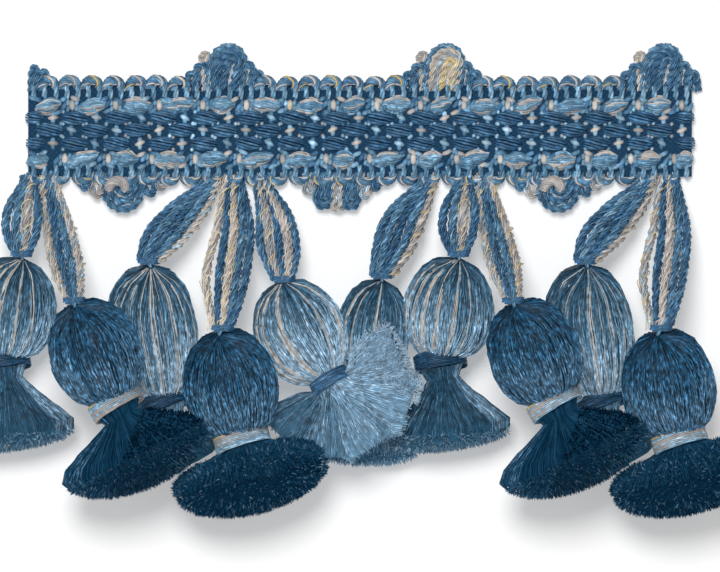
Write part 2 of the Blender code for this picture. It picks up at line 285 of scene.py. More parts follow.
SOCKET_KINDS = {int: "Int", float: "Float", tuple: "Vector", type(None): "Material"}
LENGTHS = {
    # inputs of the trees that are given in millimetres
    "pitch", "shift", "ply_spread", "ply_pitch", "strand_spread", "strand_pitch", "thickness", "frizz",
    "lift", "lift_spread", "wave", "wave_size", "radius", "length",
}


def attribute(tree, name):
    return add_node(tree, "ShaderNodeAttribute", attribute_name=name).outputs["Fac"]


def in_range(value, low, high, least, most):
    """A value from low to high brought between least and most."""
    return output(value, "ShaderNodeMapRange", {0: value, 1: low, 2: high, 3: least, 4: most})


def combined(**parts):
    """A vector of one or more of the parts X, Y and Z."""
    return output(next(iter(parts.values())), "ShaderNodeCombineXYZ", parts)


def yarn_material(name, stops, roughness, gloss, dull=0.7, bright=1.9, mottle_and_sheen=0.2):
    """Spun yarn: each strand has its own tone, and all but taupe has painted glints, its colour lightened
    and darkened along the strand between dull and bright; the mottle varies the colour at random, and
    where patch is large, as on the silk, it also paints soft patches of sheen.
    """
    made, tree, shader = new_material(name, roughness, gloss)
    # Painted glints: a noise along each strand lightens and darkens its colour, except on taupe.
    strand = times(attribute(tree, "strand"), STRANDS_APART)
    course = combined(X=strand, Y=attribute(tree, "run"))
    glint_amount = in_range(noise(course, PAINTED_GLINT_SCALE, 2.0)[0], *PAINTED_GLINT_RANGE, 0.0, 1.0)
    painted_glint_gain = maths("MULTIPLY_ADD", maths("POWER", glint_amount, 2.0), bright - dull, dull)
    tone = attribute(tree, "tone")
    taupe = maths("GREATER_THAN", tone, FIRST_TAUPE)
    painted_glint_gain = maths("MULTIPLY_ADD", minus(1.0, painted_glint_gain), taupe, painted_glint_gain)
    place = add_node(tree, "ShaderNodeTexCoord").outputs["Object"]
    # Mottle: random tone, and with the silk's larger patch also painted soft patches of sheen.
    mottle = noise(place, MOTTLE_SCALE, 3.0)[0]
    light = times(in_range(mottle, *MOTTLE_RANGE, 1 - mottle_and_sheen, 1 + mottle_and_sheen), painted_glint_gain)
    painted = vectors("MULTIPLY", colour_of(tone, stops), light)
    finish_with(shader, painted, noise(place, FIBRE_SCALE, 2.0)[0], **FIBRE_RELIEF)
    return made


def new_tree(name, inputs):
    """Geometry Nodes tree that takes a piece and these further inputs, and gives a piece back."""
    tree = bpy.data.node_groups.new(name, "GeometryNodeTree")
    for way in ("OUTPUT", "INPUT"):
        tree.interface.new_socket("Piece", in_out=way, socket_type="NodeSocketGeometry")
    for label, value in inputs.items():
        kind = "NodeSocket" + SOCKET_KINDS[type(value)]
        made = tree.interface.new_socket(label, in_out="INPUT", socket_type=kind)
        if value is not None:
            made.default_value = value
    start = tree.nodes.new("NodeGroupInput")
    return tree, {socket.name: socket for socket in start.outputs}


def give_back(piece, finish):
    """Ends a tree with plain geometry in its finish."""
    piece = output(piece, "GeometryNodeRealizeInstances", {"Geometry": piece})
    piece = output(piece, "GeometryNodeSetMaterial", {"Geometry": piece, "Material": finish})
    add_node(piece, "NodeGroupOutput", {0: piece})


def drawn(low, high, seed, **more):
    """A number drawn for each element."""
    inputs = {"Min": low, "Max": high, "Seed": seed, **more}
    return add_node(seed, "FunctionNodeRandomValue", inputs, data_type="FLOAT").outputs[1]


def drawn_vector(seed):
    """A vector drawn for each element, each of its parts from -1 to 1."""
    inputs = {0: (-1.0, -1.0, -1.0), 1: (1.0, 1.0, 1.0), "Seed": seed}
    return output(seed, "FunctionNodeRandomValue", inputs, data_type="FLOAT_VECTOR")


def store(piece, name, value, domain="POINT"):
    inputs = {"Geometry": piece, "Name": name, "Value": value}
    return output(piece, "GeometryNodeStoreNamedAttribute", inputs, data_type="FLOAT", domain=domain)


def named(tree, name, kind="FLOAT"):
    return output(tree, "GeometryNodeInputNamedAttribute", {"Name": name}, data_type=kind)


def scaled(vector, scale):
    return output(vector, "ShaderNodeVectorMath", {0: vector, "Scale": scale}, operation="SCALE")


def moved(piece, offset):
    return output(piece, "GeometryNodeSetPosition", {"Geometry": piece, "Offset": offset})


def evenly(curve, count):
    """A curve with this many points, evenly spaced."""
    return output(curve, "GeometryNodeResampleCurve", {"Curve": curve, "Count": count}, mode="COUNT")


def copied(curve, count):
    """Copies of each spline, and their numbers."""
    inputs = {"Geometry": curve, "Amount": count}
    return add_node(curve, "GeometryNodeDuplicateElements", inputs, domain="SPLINE").outputs


def along(near, measure):
    """Length or share of a spline up to each of its points."""
    return add_node(near, "GeometryNodeSplineParameter").outputs[measure]


def wander(place, scale):
    """A vector that changes smoothly from place to place, about zero."""
    return vectors("SUBTRACT", noise(place, scale, 1.0)[1], (0.5, 0.5, 0.5))


def ring_of(curve, count, spread, pitch, thick):
    """Copies of each spline, set round it and twisted once in each pitch."""
    copies = copied(curve, count)
    share = maths("DIVIDE", copies[1], count)
    turns = plus(share, maths("DIVIDE", along(curve, "Length"), pitch))
    turned = {
        "Vector": output(curve, "GeometryNodeInputNormal"),
        "Axis": output(curve, "GeometryNodeInputTangent"),
        "Angle": times(turns, 2 * math.pi),
    }
    side = output(curve, "ShaderNodeVectorRotate", turned)
    return moved(copies[0], scaled(side, times(spread, thick)))


def along_and_strand(curve, seed):
    """Keeps on each strand a number of its own and the length in millimetres up to each point."""
    curve = store(curve, "strand", drawn(0.0, 1.0, plus(seed, 5)), "CURVE")
    return store(curve, "run", maths("DIVIDE", along(curve, "Length"), MM))


def tubes(curve, sides, thickness, finish):
    """Closed tubes on the splines, kept on or above the table, smooth and with their finish."""
    here = output(curve, "GeometryNodeInputPosition")
    x, y, z = add_node(curve, "ShaderNodeSeparateXYZ", {0: here}).outputs
    level = combined(X=x, Y=y, Z=maths("MAXIMUM", z, thickness))
    curve = output(curve, "GeometryNodeSetPosition", {"Geometry": curve, "Position": level})
    ring = output(curve, "GeometryNodeCurvePrimitiveCircle", {"Resolution": sides, "Radius": 1.0})
    swept = {"Curve": curve, "Profile Curve": ring, "Scale": thickness, "Fill Caps": True}
    skin = output(curve, "GeometryNodeCurveToMesh", swept)
    give_back(output(skin, "GeometryNodeSetShadeSmooth", {"Geometry": skin}), finish)


def lay_yarn_tree():
    """Repeats yarn paths along X, twists plies round each path and strands round each ply."""
    inputs = {
        "Repeats": 1, "Start": ORIGIN, "Pitch": 0.0, "Shift": ORIGIN, "Turn": 0.0, "Steps": 12,
        "Plies": 1, "Ply Spread": 0.0, "Ply Pitch": 1.0, "Strands": 1, "Strand Spread": 0.0,
        "Strand Pitch": 1.0, "Thickness": 0.0003, "Sides": 4, "Frizz": 0.0, "Tone Spread": 0.1,
        "Seed": YARN_SEED, "Finish": None,
    }
    tree, socket = new_tree("lay_yarn", inputs)
    seed = socket["Seed"]
    path = output(tree, "GeometryNodeMeshToCurve", {"Mesh": socket["Piece"]})
    path = output(tree, "GeometryNodeCurveSplineType", {"Curve": path}, spline_type="CATMULL_ROM")
    path = evenly(path, socket["Steps"])
    spots = {
        "Count": socket["Repeats"], "Start Location": socket["Start"],
        "Offset": combined(X=socket["Pitch"]),
    }
    row = output(tree, "GeometryNodeMeshLine", spots, mode="OFFSET")
    turn = times(drawn(-1.0, 1.0, seed), socket["Turn"])
    turned = output(tree, "FunctionNodeEulerToRotation", {0: combined(Z=turn)})
    placed = {"Points": row, "Instance": path, "Rotation": turned}
    placed = output(tree, "GeometryNodeInstanceOnPoints", placed)
    stray = vectors("MULTIPLY", drawn_vector(seed), socket["Shift"])
    strayed = {"Instances": placed, "Translation": stray, "Local Space": False}
    placed = output(tree, "GeometryNodeTranslateInstances", strayed)
    laid = output(tree, "GeometryNodeRealizeInstances", {"Geometry": placed})
    thick = named(tree, "thick")
    for count, ring in (("Plies", "Ply"), ("Strands", "Strand")):
        laid = ring_of(laid, socket[count], socket[ring + " Spread"], socket[ring + " Pitch"], thick)
    here = output(tree, "GeometryNodeInputPosition")
    laid = moved(laid, scaled(wander(here, FRIZZ_SCALE), socket["Frizz"]))
    spread = times(drawn(-1.0, 1.0, seed), socket["Tone Spread"])
    laid = store(laid, "tone", plus(named(tree, "tone"), spread), "CURVE")
    laid = along_and_strand(laid, seed)
    thickness = times(socket["Thickness"], thick)
    tubes(laid, socket["Sides"], thickness, socket["Finish"])
    return tree


def paths_mesh(paths):
    """Edge-only mesh of yarn paths: each is its points, its tone, and its thickness at each point."""
    points, edges, tones, thicks = [], [], [], []
    for course, tone, thick in paths:
        first = len(points)
        points += [tuple(point) for point in course]
        edges += [(first + step, first + step + 1) for step in range(len(course) - 1)]
        tones += [tone] * len(course)
        thicks += list(thick) if hasattr(thick, "__len__") else [thick] * len(course)
    mesh = bpy.data.meshes.new("paths")
    mesh.from_pydata(points, edges, [])
    for key, values in (("tone", tones), ("thick", thicks)):
        mesh.attributes.new(key, "FLOAT", "POINT").data.foreach_set("value", values)
    return mesh


def grown(tree, mesh, **values):
    """The plain mesh that a tree makes of a mesh, given the tree's inputs by name."""
    source = shown("source", mesh)
    modifier = source.modifiers.new("nodes", "NODES")
    modifier.node_group = tree
    for item in tree.interface.items_tree:
        word = item.name.lower().replace(" ", "_")
        if item.in_out == "INPUT" and word in values:
            modifier[item.identifier] = values[word] * MM if word in LENGTHS else values[word]
    made = bpy.data.meshes.new_from_object(source.evaluated_get(bpy.context.evaluated_depsgraph_get()))
    bpy.data.objects.remove(source)
    return made


def joined(name, meshes):
    """One object of several meshes that are already in place."""
    parts = [shown(name, mesh) for mesh in meshes]
    with bpy.context.temp_override(
        active_object=parts[0], selected_objects=parts, selected_editable_objects=parts
    ):
        bpy.ops.object.join()
    parts[0].name = name
    return parts[0]


def local(*points):
    """Path points in metres from the place that the path repeats from."""
    return [Vector(point) * MM for point in points]


lay_yarn = lay_yarn_tree()
fancy_yarn = yarn_material("fancy_yarn", YARN_STOPS, roughness=0.45, gloss=0.3)
chance = random.Random(YARN_SEED)


def yarns(paths, **values):
    """Yarn laid along paths in the fancy finish."""
    return grown(lay_yarn, paths_mesh(paths), finish=fancy_yarn, **values)


BAR_COUNT = 61
FIRST_BAR = -61.9
BAR_REACH = 1.15
BAR_PATH = local((0, -BAR_REACH, 0.9), (0, -0.7, 1.8), (0, 0.7, 1.8), (0, BAR_REACH, 0.9))
BAR_ROWS = (
    # y of the row, tone
    (35.65, 0.49),
    (20.7, 0.45),
)
BAR_YARN = dict(
    repeats=BAR_COUNT, pitch=WEFT_PITCH, shift=Vector((0.12, 0.1, 0.05)), steps=8, strands=3,
    strand_spread=0.28, strand_pitch=5.0, thickness=0.29, sides=3, tone_spread=0.08,
)
face_meshes = [
    yarns([(BAR_PATH, tone, 1.0)], start=at(FIRST_BAR, row_y), **BAR_YARN) for row_y, tone in BAR_ROWS
]

BLUE, PALE, TAUPE = 0.27, 0.52, 0.66
FLOAT_ROWS = (
    # y of the row, x of its first float, count, 1 if a tie comes before that float and -1 if after
    (30.8, -54.1, 14, 1),
    (28.5, -58.7, 15, -1),
    (26.0, -54.3, 14, 1),
)
FLOAT_HALF = 2.35
FLOAT_PATH = local(
    (-FLOAT_HALF, 0, 0.6), (-1.75, 0, 1.3), (-0.75, 0, 1.75),
    (0.75, 0, 1.75), (1.75, 0, 1.3), (FLOAT_HALF, 0, 0.6),
)
FLOAT_THICK = (0.45, 0.9, 1.1, 1.1, 0.9, 0.45)
FLOAT_YARN = dict(
    strands=11, strand_spread=1.0, strand_pitch=22.0, thickness=0.26, sides=3, frizz=0.35,
    tone_spread=0.07,
)
END_X = 61.4
END_POINTS = ((-1.5, 0, 0.8), (-0.5, 0, 1.6), (0.4, 0, 1.6), (1.2, 0, 0.6))
END_THICK = (0.9, 1.0, 0.9, 0.45)
UPRIGHT_PATH = local((0, -0.95, 1.1), (0, -0.55, 1.7), (0, 0.55, 1.7), (0, 0.95, 1.1))
CROSS_PATH = local((-0.75, 0.1, 1.4), (-0.3, 0, 1.95), (0.3, 0, 1.95), (0.75, -0.1, 1.4))
CROSS_THICK = (0.7, 1.0, 1.0, 0.7)
FLOAT_TIES = 15
KNOT_PATH = local((-0.15, 0, 1.4), (0, 0, 1.8), (0.15, 0, 1.4))
KNOT_THICK = (0.6, 1.0, 0.6)
KNOT_YARN = dict(steps=5, thickness=0.42, tone_spread=0.08, sides=6)
KNOT_PLACES = ((-2.2, -1.15), (-2.2, 1.15), (2.2, -1.15), (2.2, 1.15))
for number, (row_y, first_x, count, way) in enumerate(FLOAT_ROWS):
    row = {"pitch": SLUB_PITCH, "shift": Vector((0.25, 0.1, 0.08)), "seed": YARN_SEED + number}
    tie_start = at(first_x - SLUB_PITCH / 2 * way, row_y)
    tie_row = {**row, "repeats": FLOAT_TIES, "start": tie_start, "steps": 8, "sides": 6}
    floats = {**row, **FLOAT_YARN, "repeats": count, "start": at(first_x, row_y), "steps": 10}
    face_meshes += [
        yarns([(FLOAT_PATH, BLUE, FLOAT_THICK)], **floats, turn=0.05),
        yarns([(UPRIGHT_PATH, PALE - 0.05, 1.0)], **tie_row, thickness=0.48, tone_spread=0.10),
        yarns([(CROSS_PATH, TAUPE, CROSS_THICK)], **tie_row, turn=0.5, thickness=0.46, tone_spread=0.14),
    ]
    for across, rise in KNOT_PLACES:
        knot_row = {**row, **KNOT_YARN, "repeats": count, "start": at(first_x + across, row_y + rise)}
        face_meshes.append(yarns([(KNOT_PATH, PALE + 0.06, KNOT_THICK)], **knot_row))
    for side in (-1, 1) if way > 0 else ():
        end_path = local(*((-side * x, y, z) for x, y, z in END_POINTS))
        end = {**row, **FLOAT_YARN, "start": at(END_X * side, row_y), "steps": 8}
        face_meshes.append(yarns([(end_path, BLUE, END_THICK)], **end))

SLUB_ROWS = (
    # y of the row, x of its first slub, x of its first tie
    (33.1, -59.2, -54.6),
    (22.9, -61.2, -56.0),
)
SLUB_COUNT = 16
SLUB_STRANDS = 9
SLUB_STEPS = 6
SLUB_HALF = (2.2, 3.4)
SLUB_FATNESS = (1.3, 1.6)
SLUB_TILT = (-0.05, 0.30)
SLUB_BLUES = (0.37, 0.53)
SLUB_TAUPES = (0.66, 0.78)
TAUPE_CHANCE = 0.10
SLUB_FOOT = 0.9
SLUB_THICK = (0.6, 0.95, 1.1, 1.15, 1.1, 0.95, 0.6)
LAST_SLUB_X = 61.3
LAST_MIDDLE = BAND_LENGTH / 2 - 1.6
TIE_TONES = (0.30, 0.38, 0.46, 0.52, 0.72)
EDGE_RISE = 1.15
TIE_SPOTS = (
    # x and y from the middle of the tie, tone
    (-0.85, 0.5, 0.48),
    (-0.8, -0.6, 0.44),
    (0.85, 0.6, 0.42),
    (0.8, -0.5, 0.50),
)


def slub(x, y):
    """Strands of one slub: loosely spun, fat in the middle, a little aslant, some of them taupe."""
    half = chance.uniform(*SLUB_HALF)
    tilt = chance.uniform(*SLUB_TILT)
    fat = chance.uniform(*SLUB_FATNESS) + 0.25 * (2.6 - half)
    half = min(half, BAND_LENGTH / 2 - abs(x) + 0.2)
    taupe_side = chance.choice((-1, 1))
    strands = []
    for number in range(SLUB_STRANDS):
        across = 2 * number / (SLUB_STRANDS - 1) - 1
        tone = chance.uniform(*SLUB_BLUES)
        if across * taupe_side > 0.7 or chance.random() < TAUPE_CHANCE:
            tone = chance.uniform(*SLUB_TAUPES)
        course = []
        for step in range(SLUB_STEPS + 1):
            share = 2 * step / SLUB_STEPS - 1
            swell = max(0.35, 1 - abs(share) ** 2.6)
            spot_y = y + tilt * half * share + fat * across * swell + chance.uniform(-0.08, 0.08)
            height = SLUB_FOOT + (1.9 - 1.1 * across * across) * math.sqrt(swell) * 0.75
            course.append(at(x + half * share + 0.2 * across, spot_y, height))
        strands.append((course, tone, SLUB_THICK))
    return strands


def blob(x, y, long_x, long_y, tone, thick):
    """A short raised bit of yarn that goes down at both ends."""
    half = Vector((long_x, long_y, 0))
    low = Vector((x, y, 1.0))
    raised = Vector((0, 0, 0.8))
    course = [low - half, low - half * 0.6 + raised, low + half * 0.6 + raised, low + half]
    return [at(*point) for point in course], tone, (0.6 * thick, thick, thick, 0.6 * thick)


slubs = []
ties = []
for row_y, first_x, first_tie in SLUB_ROWS:
    for number in range(SLUB_COUNT):
        x = first_x + SLUB_PITCH * number
        x = LAST_SLUB_X if LAST_SLUB_X < x < 64 else x
        if abs(x) < LAST_MIDDLE:
            slubs += slub(x, row_y + chance.uniform(-0.25, 0.25))
            for side in (-1, 1, -1, 1):
                tone = chance.choice(TIE_TONES)
                away = min(chance.uniform(1.8, 3.4), BAND_LENGTH / 2 - abs(x) - 0.8)
                rise = row_y + chance.choice((-EDGE_RISE, EDGE_RISE)) + chance.uniform(-0.25, 0.25)
                ties.append(blob(x + side * away, rise, 0.7, 0.3 * side, tone, 1.5))
        x = first_tie + SLUB_PITCH * (number - 1)
        if abs(x) > LAST_MIDDLE:
            continue
        ties.append(blob(x, row_y + 0.1, 0.0, 0.75, chance.uniform(0.72, 0.84), 2.0))
        for across, rise, tone in TIE_SPOTS:
            ties.append(blob(x + across, row_y + rise, 0.12, 0.4, tone, 1.35))
        for side in (-1, 1):
            rise = row_y + chance.uniform(-0.5, 0.5)
            tone = chance.uniform(0.22, 0.40)
            ties.append(blob(x + 1.5 * side, rise, 0.5, 0.7, tone, 1.6))
SLUB_YARN = dict(
    steps=10, strands=2, strand_spread=0.15, strand_pitch=6.0, thickness=0.24, sides=3, frizz=0.3,
    tone_spread=0.03,
)
face_meshes.append(yarns(slubs, **SLUB_YARN))
face_meshes.append(yarns(ties, steps=6, thickness=0.3, sides=5, tone_spread=0.04, frizz=0.2))
braid_face = joined("braid_face", face_meshes)
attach(braid_face, "root")

# Picots, rosettes and fans. Fat two-ply gimp, blue with some taupe and gold, comes out of the
# edge wefts and goes back in as small round loops. Over the upper edge some loops pile up into
# rosettes, and under the lower edge they lengthen into fans.
MOTIF_PITCH = 41.325
MOTIF_COUNT = 3
LOWER_PICOT_Y = 19.1
PICOT_EDGES = (
    # first x and count of each run, y of the edge, way out, thickness
    (((-59.15, 7), (-17.8, 7), (23.5, 7)), 37.5, 1, 1.0),
    (((-61.2, 30),), LOWER_PICOT_Y, -1, 0.85),
)
PICOT_POINTS = ((-1.4, -1.3, 0.8), (-1.35, -0.3, 1.2), (-0.8, 0.34, 1.5), (0, 0.48, 1.6))
PICOT_YARNS = (
    # strands, their spread, thickness, tone and its spread
    (8, 0.55, 0.34, 0.36, 0.10),
    (2, 0.72, 0.26, 0.80, 0.12),
)
PICOT = dict(
    strand_pitch=5.2, pitch=2 * WEFT_PITCH, shift=Vector((0.15, 0.15, 0.1)), turn=0.12, steps=14,
    sides=3, frizz=0.25,
)
LOOP_FOOT = 0.8
LOOP_STEPS = 6
LOOP_ROUND = 1.1
LOOP_CROWN = 0.3
edge_meshes = []
for rows, y, way, picot_thick in PICOT_EDGES:
    arch = [(across, out * way, height) for across, out, height in PICOT_POINTS]
    arch = local(*arch, *((-across, out, height) for across, out, height in arch[-2::-1]))
    for number, (first_x, count) in enumerate(rows):
        place = {"repeats": count, "start": at(first_x, y), "seed": YARN_SEED + number}
        for strands, spread, thick, tone, tone_spread in PICOT_YARNS:
            ring = {"strands": strands, "strand_spread": spread, "thickness": thick}
            path = (arch, tone, picot_thick)
            edge_meshes.append(yarns([path], **place, **ring, **PICOT, tone_spread=tone_spread))


def arc(x, y, half, reach, lean, height, tone):
    """A loop out of the edge at x - half and back at x + half, its far end shifted by lean."""
    way = 1 if reach > 0 else -1
    crown = half * LOOP_ROUND
    course = [at(x - half, y, LOOP_FOOT)]
    for step in range(LOOP_STEPS + 1):
        angle = math.pi * step / LOOP_STEPS
        far = reach - crown * way + crown * math.sin(angle) * way
        spot_x = x - half * math.cos(angle) + lean * far / reach
        course.append(at(spot_x, y + far, height + LOOP_CROWN * math.sin(angle)))
    return [*course, at(x + half, y, LOOP_FOOT)], tone, 1.0


ROSETTE_X = -26.1
ROSETTE_Y = 35.9
FAN_X = -45.2
FAN_Y = LOWER_PICOT_Y + 1.2
BLUE_GIMP, GREY_GIMP, CREAM_GIMP = 0.34, 0.70, 0.78
ROSETTE_LOOPS = (
    # x, half width, reach, lean, height, tone
    (-5.8, 1.0, 3.4, 0.3, 1.2, BLUE_GIMP),
    (-4.2, 1.1, 5.0, 0.4, 1.5, BLUE_GIMP),
    (-2.9, 0.5, 7.0, -0.6, 1.3, CREAM_GIMP),
    (0.4, 3.3, 8.5, 0.9, 1.5, 0.40),
    (0.5, 2.5, 7.7, 1.1, 2.0, BLUE_GIMP),
    (0.6, 1.7, 6.9, 1.3, 2.4, 0.28),
    (0.8, 0.9, 6.0, 1.5, 2.7, BLUE_GIMP),
    (4.9, 1.2, 5.0, -0.2, 1.4, BLUE_GIMP),
    (6.6, 1.0, 3.4, -0.2, 1.2, BLUE_GIMP),
)
KNOTTED_FAN = (
    (-7.0, 0.9, -2.8, 0.0, 1.2, BLUE_GIMP),
    (-5.0, 0.9, -4.2, 0.2, 1.4, GREY_GIMP),
    (0.2, 3.6, -6.9, 0.0, 1.5, BLUE_GIMP),
    (0.2, 2.4, -5.4, 0.0, 1.7, BLUE_GIMP),
    (0.4, 1.2, -3.8, 0.0, 1.9, BLUE_GIMP),
    (5.4, 0.9, -4.0, -0.2, 1.4, BLUE_GIMP),
    (7.4, 0.9, -2.8, 0.0, 1.2, GREY_GIMP),
)
STRAIGHT_FAN = (
    (-5.9, 0.8, -3.8, 0.2, 1.2, GREY_GIMP),
    (-3.3, 1.3, -6.4, 0.2, 1.5, BLUE_GIMP),
    (-3.2, 0.4, -5.0, 0.2, 1.8, BLUE_GIMP),
    (-0.4, 0.7, -6.9, 0.0, 1.5, GREY_GIMP),
    (2.3, 1.3, -6.5, -0.2, 1.5, BLUE_GIMP),
    (2.3, 0.4, -5.2, -0.2, 1.8, BLUE_GIMP),
    (5.0, 0.8, -4.4, -0.3, 1.3, GREY_GIMP),
    (7.0, 0.8, -2.8, -0.2, 1.2, BLUE_GIMP),
)
END_LOOPS = (
    # x, half width, reach, lean, height, tone
    (-62.0, 0.5, 4.4, 0.3, 1.5, BLUE_GIMP),
    (-60.6, 0.7, 3.6, 0.3, 1.3, BLUE_GIMP),
)
MIDDLE_ROSETTE_TONES = {4: CREAM_GIMP, 5: GREY_GIMP, 6: 0.90}
KNOT_COURSE = ((-2.5, 17.3, 2.0), (-2.0, 18.4, 2.9), (-0.7, 18.9, 3.2), (0.4, 18.2, 2.8), (0.6, 17.2, 2.0))
GIMP = dict(
    steps=30, plies=2, ply_spread=0.40, ply_pitch=3.2, strands=4, strand_spread=0.26,
    strand_pitch=-7.0, thickness=0.22, sides=3, tone_spread=0.09,
)
FAN_KNOT_YARN = dict(
    steps=18, strands=9, strand_spread=0.70, strand_pitch=7.0, thickness=0.32, tone_spread=0.05,
    frizz=0.3,
)
loops = [arc(x, ROSETTE_Y, *rest) for x, *rest in END_LOOPS]
knots = []
for repeat in range(MOTIF_COUNT):
    middle = repeat == 1
    x = ROSETTE_X + MOTIF_PITCH * repeat
    for number, (offset, *shape, tone) in enumerate(ROSETTE_LOOPS):
        tone = MIDDLE_ROSETTE_TONES.get(number, tone) if middle else tone
        loops.append(arc(x + offset, ROSETTE_Y, *shape, tone))
    x = FAN_X + MOTIF_PITCH * repeat
    for offset, *shape in STRAIGHT_FAN if middle else KNOTTED_FAN:
        loops.append(arc(x + offset, FAN_Y, *shape))
    if not middle:
        knots.append(([at(x + across, y, z) for across, y, z in KNOT_COURSE], 0.70, 1.0))
edge_meshes.append(yarns(loops, **GIMP))
edge_meshes.append(yarns(knots, **FAN_KNOT_YARN))
braid_edges = joined("braid_edges", edge_meshes)
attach(braid_edges, "root")

# Tassels. A thick bundle of silky yarn is folded over the knot, so that the strands run from
# it over an egg-shaped head to the neck, and below the neck the cut ends flare into a dense
# skirt. The heads of the light tassels have taupe stripes, and the dark ones are navy.
PATTERN_REPEAT = 82.65
PLACES = (
    # name, kind of tassel, kind of hanger, tassel's shift, hanger's shift
    ("light_1", "light_right", "light_right", -PATTERN_REPEAT, -PATTERN_REPEAT),
    ("dark_1", "dark_left", "dark_right", 0.0, -PATTERN_REPEAT),
    ("light_2", "light_left", "light_left", 0.0, 0.0),
    ("dark_2", "dark_middle", "dark_middle", 0.0, 0.0),
    ("light_3", "light_crushed", "light_crushed", 0.0, 0.0),
    ("light_4", "light_hidden", "light_hidden", 0.0, 0.0),
    ("light_5", "light_right", "light_right", 0.0, 0.0),
    ("dark_3", "dark_left", "dark_right", PATTERN_REPEAT, 0.0),
    ("light_6", "light_left", "light_left", PATTERN_REPEAT, PATTERN_REPEAT),
    ("dark_4", "dark_middle", "dark_middle", PATTERN_REPEAT, PATTERN_REPEAT),
)
# Outlines of a skirt: share of the way from the neck to the hem, share of the half width.
BELL = (
    (0.0, 0.0), (0.12, 0.20), (0.25, 0.46), (0.40, 0.78), (0.50, 0.95), (0.57, 1.0),
    (0.70, 0.94), (0.82, 0.79), (0.92, 0.56), (0.98, 0.28), (1.0, 0.05),
)
DOME = (
    (0.0, 0.0), (0.06, 0.36), (0.14, 0.66), (0.24, 0.88), (0.36, 0.99), (0.46, 1.0),
    (0.65, 0.95), (0.80, 0.79), (0.92, 0.52), (0.98, 0.26), (1.0, 0.05),
)
CONE = (
    (0.0, 0.0), (0.15, 0.20), (0.30, 0.38), (0.45, 0.57), (0.60, 0.76), (0.72, 0.92),
    (0.80, 1.0), (0.90, 0.93), (0.96, 0.72), (1.0, 0.30),
)
FAN = (
    (0.0, 0.0), (0.15, 0.20), (0.30, 0.42), (0.50, 0.68), (0.70, 0.90), (0.85, 1.0),
    (0.95, 0.96), (1.0, 0.80),
)
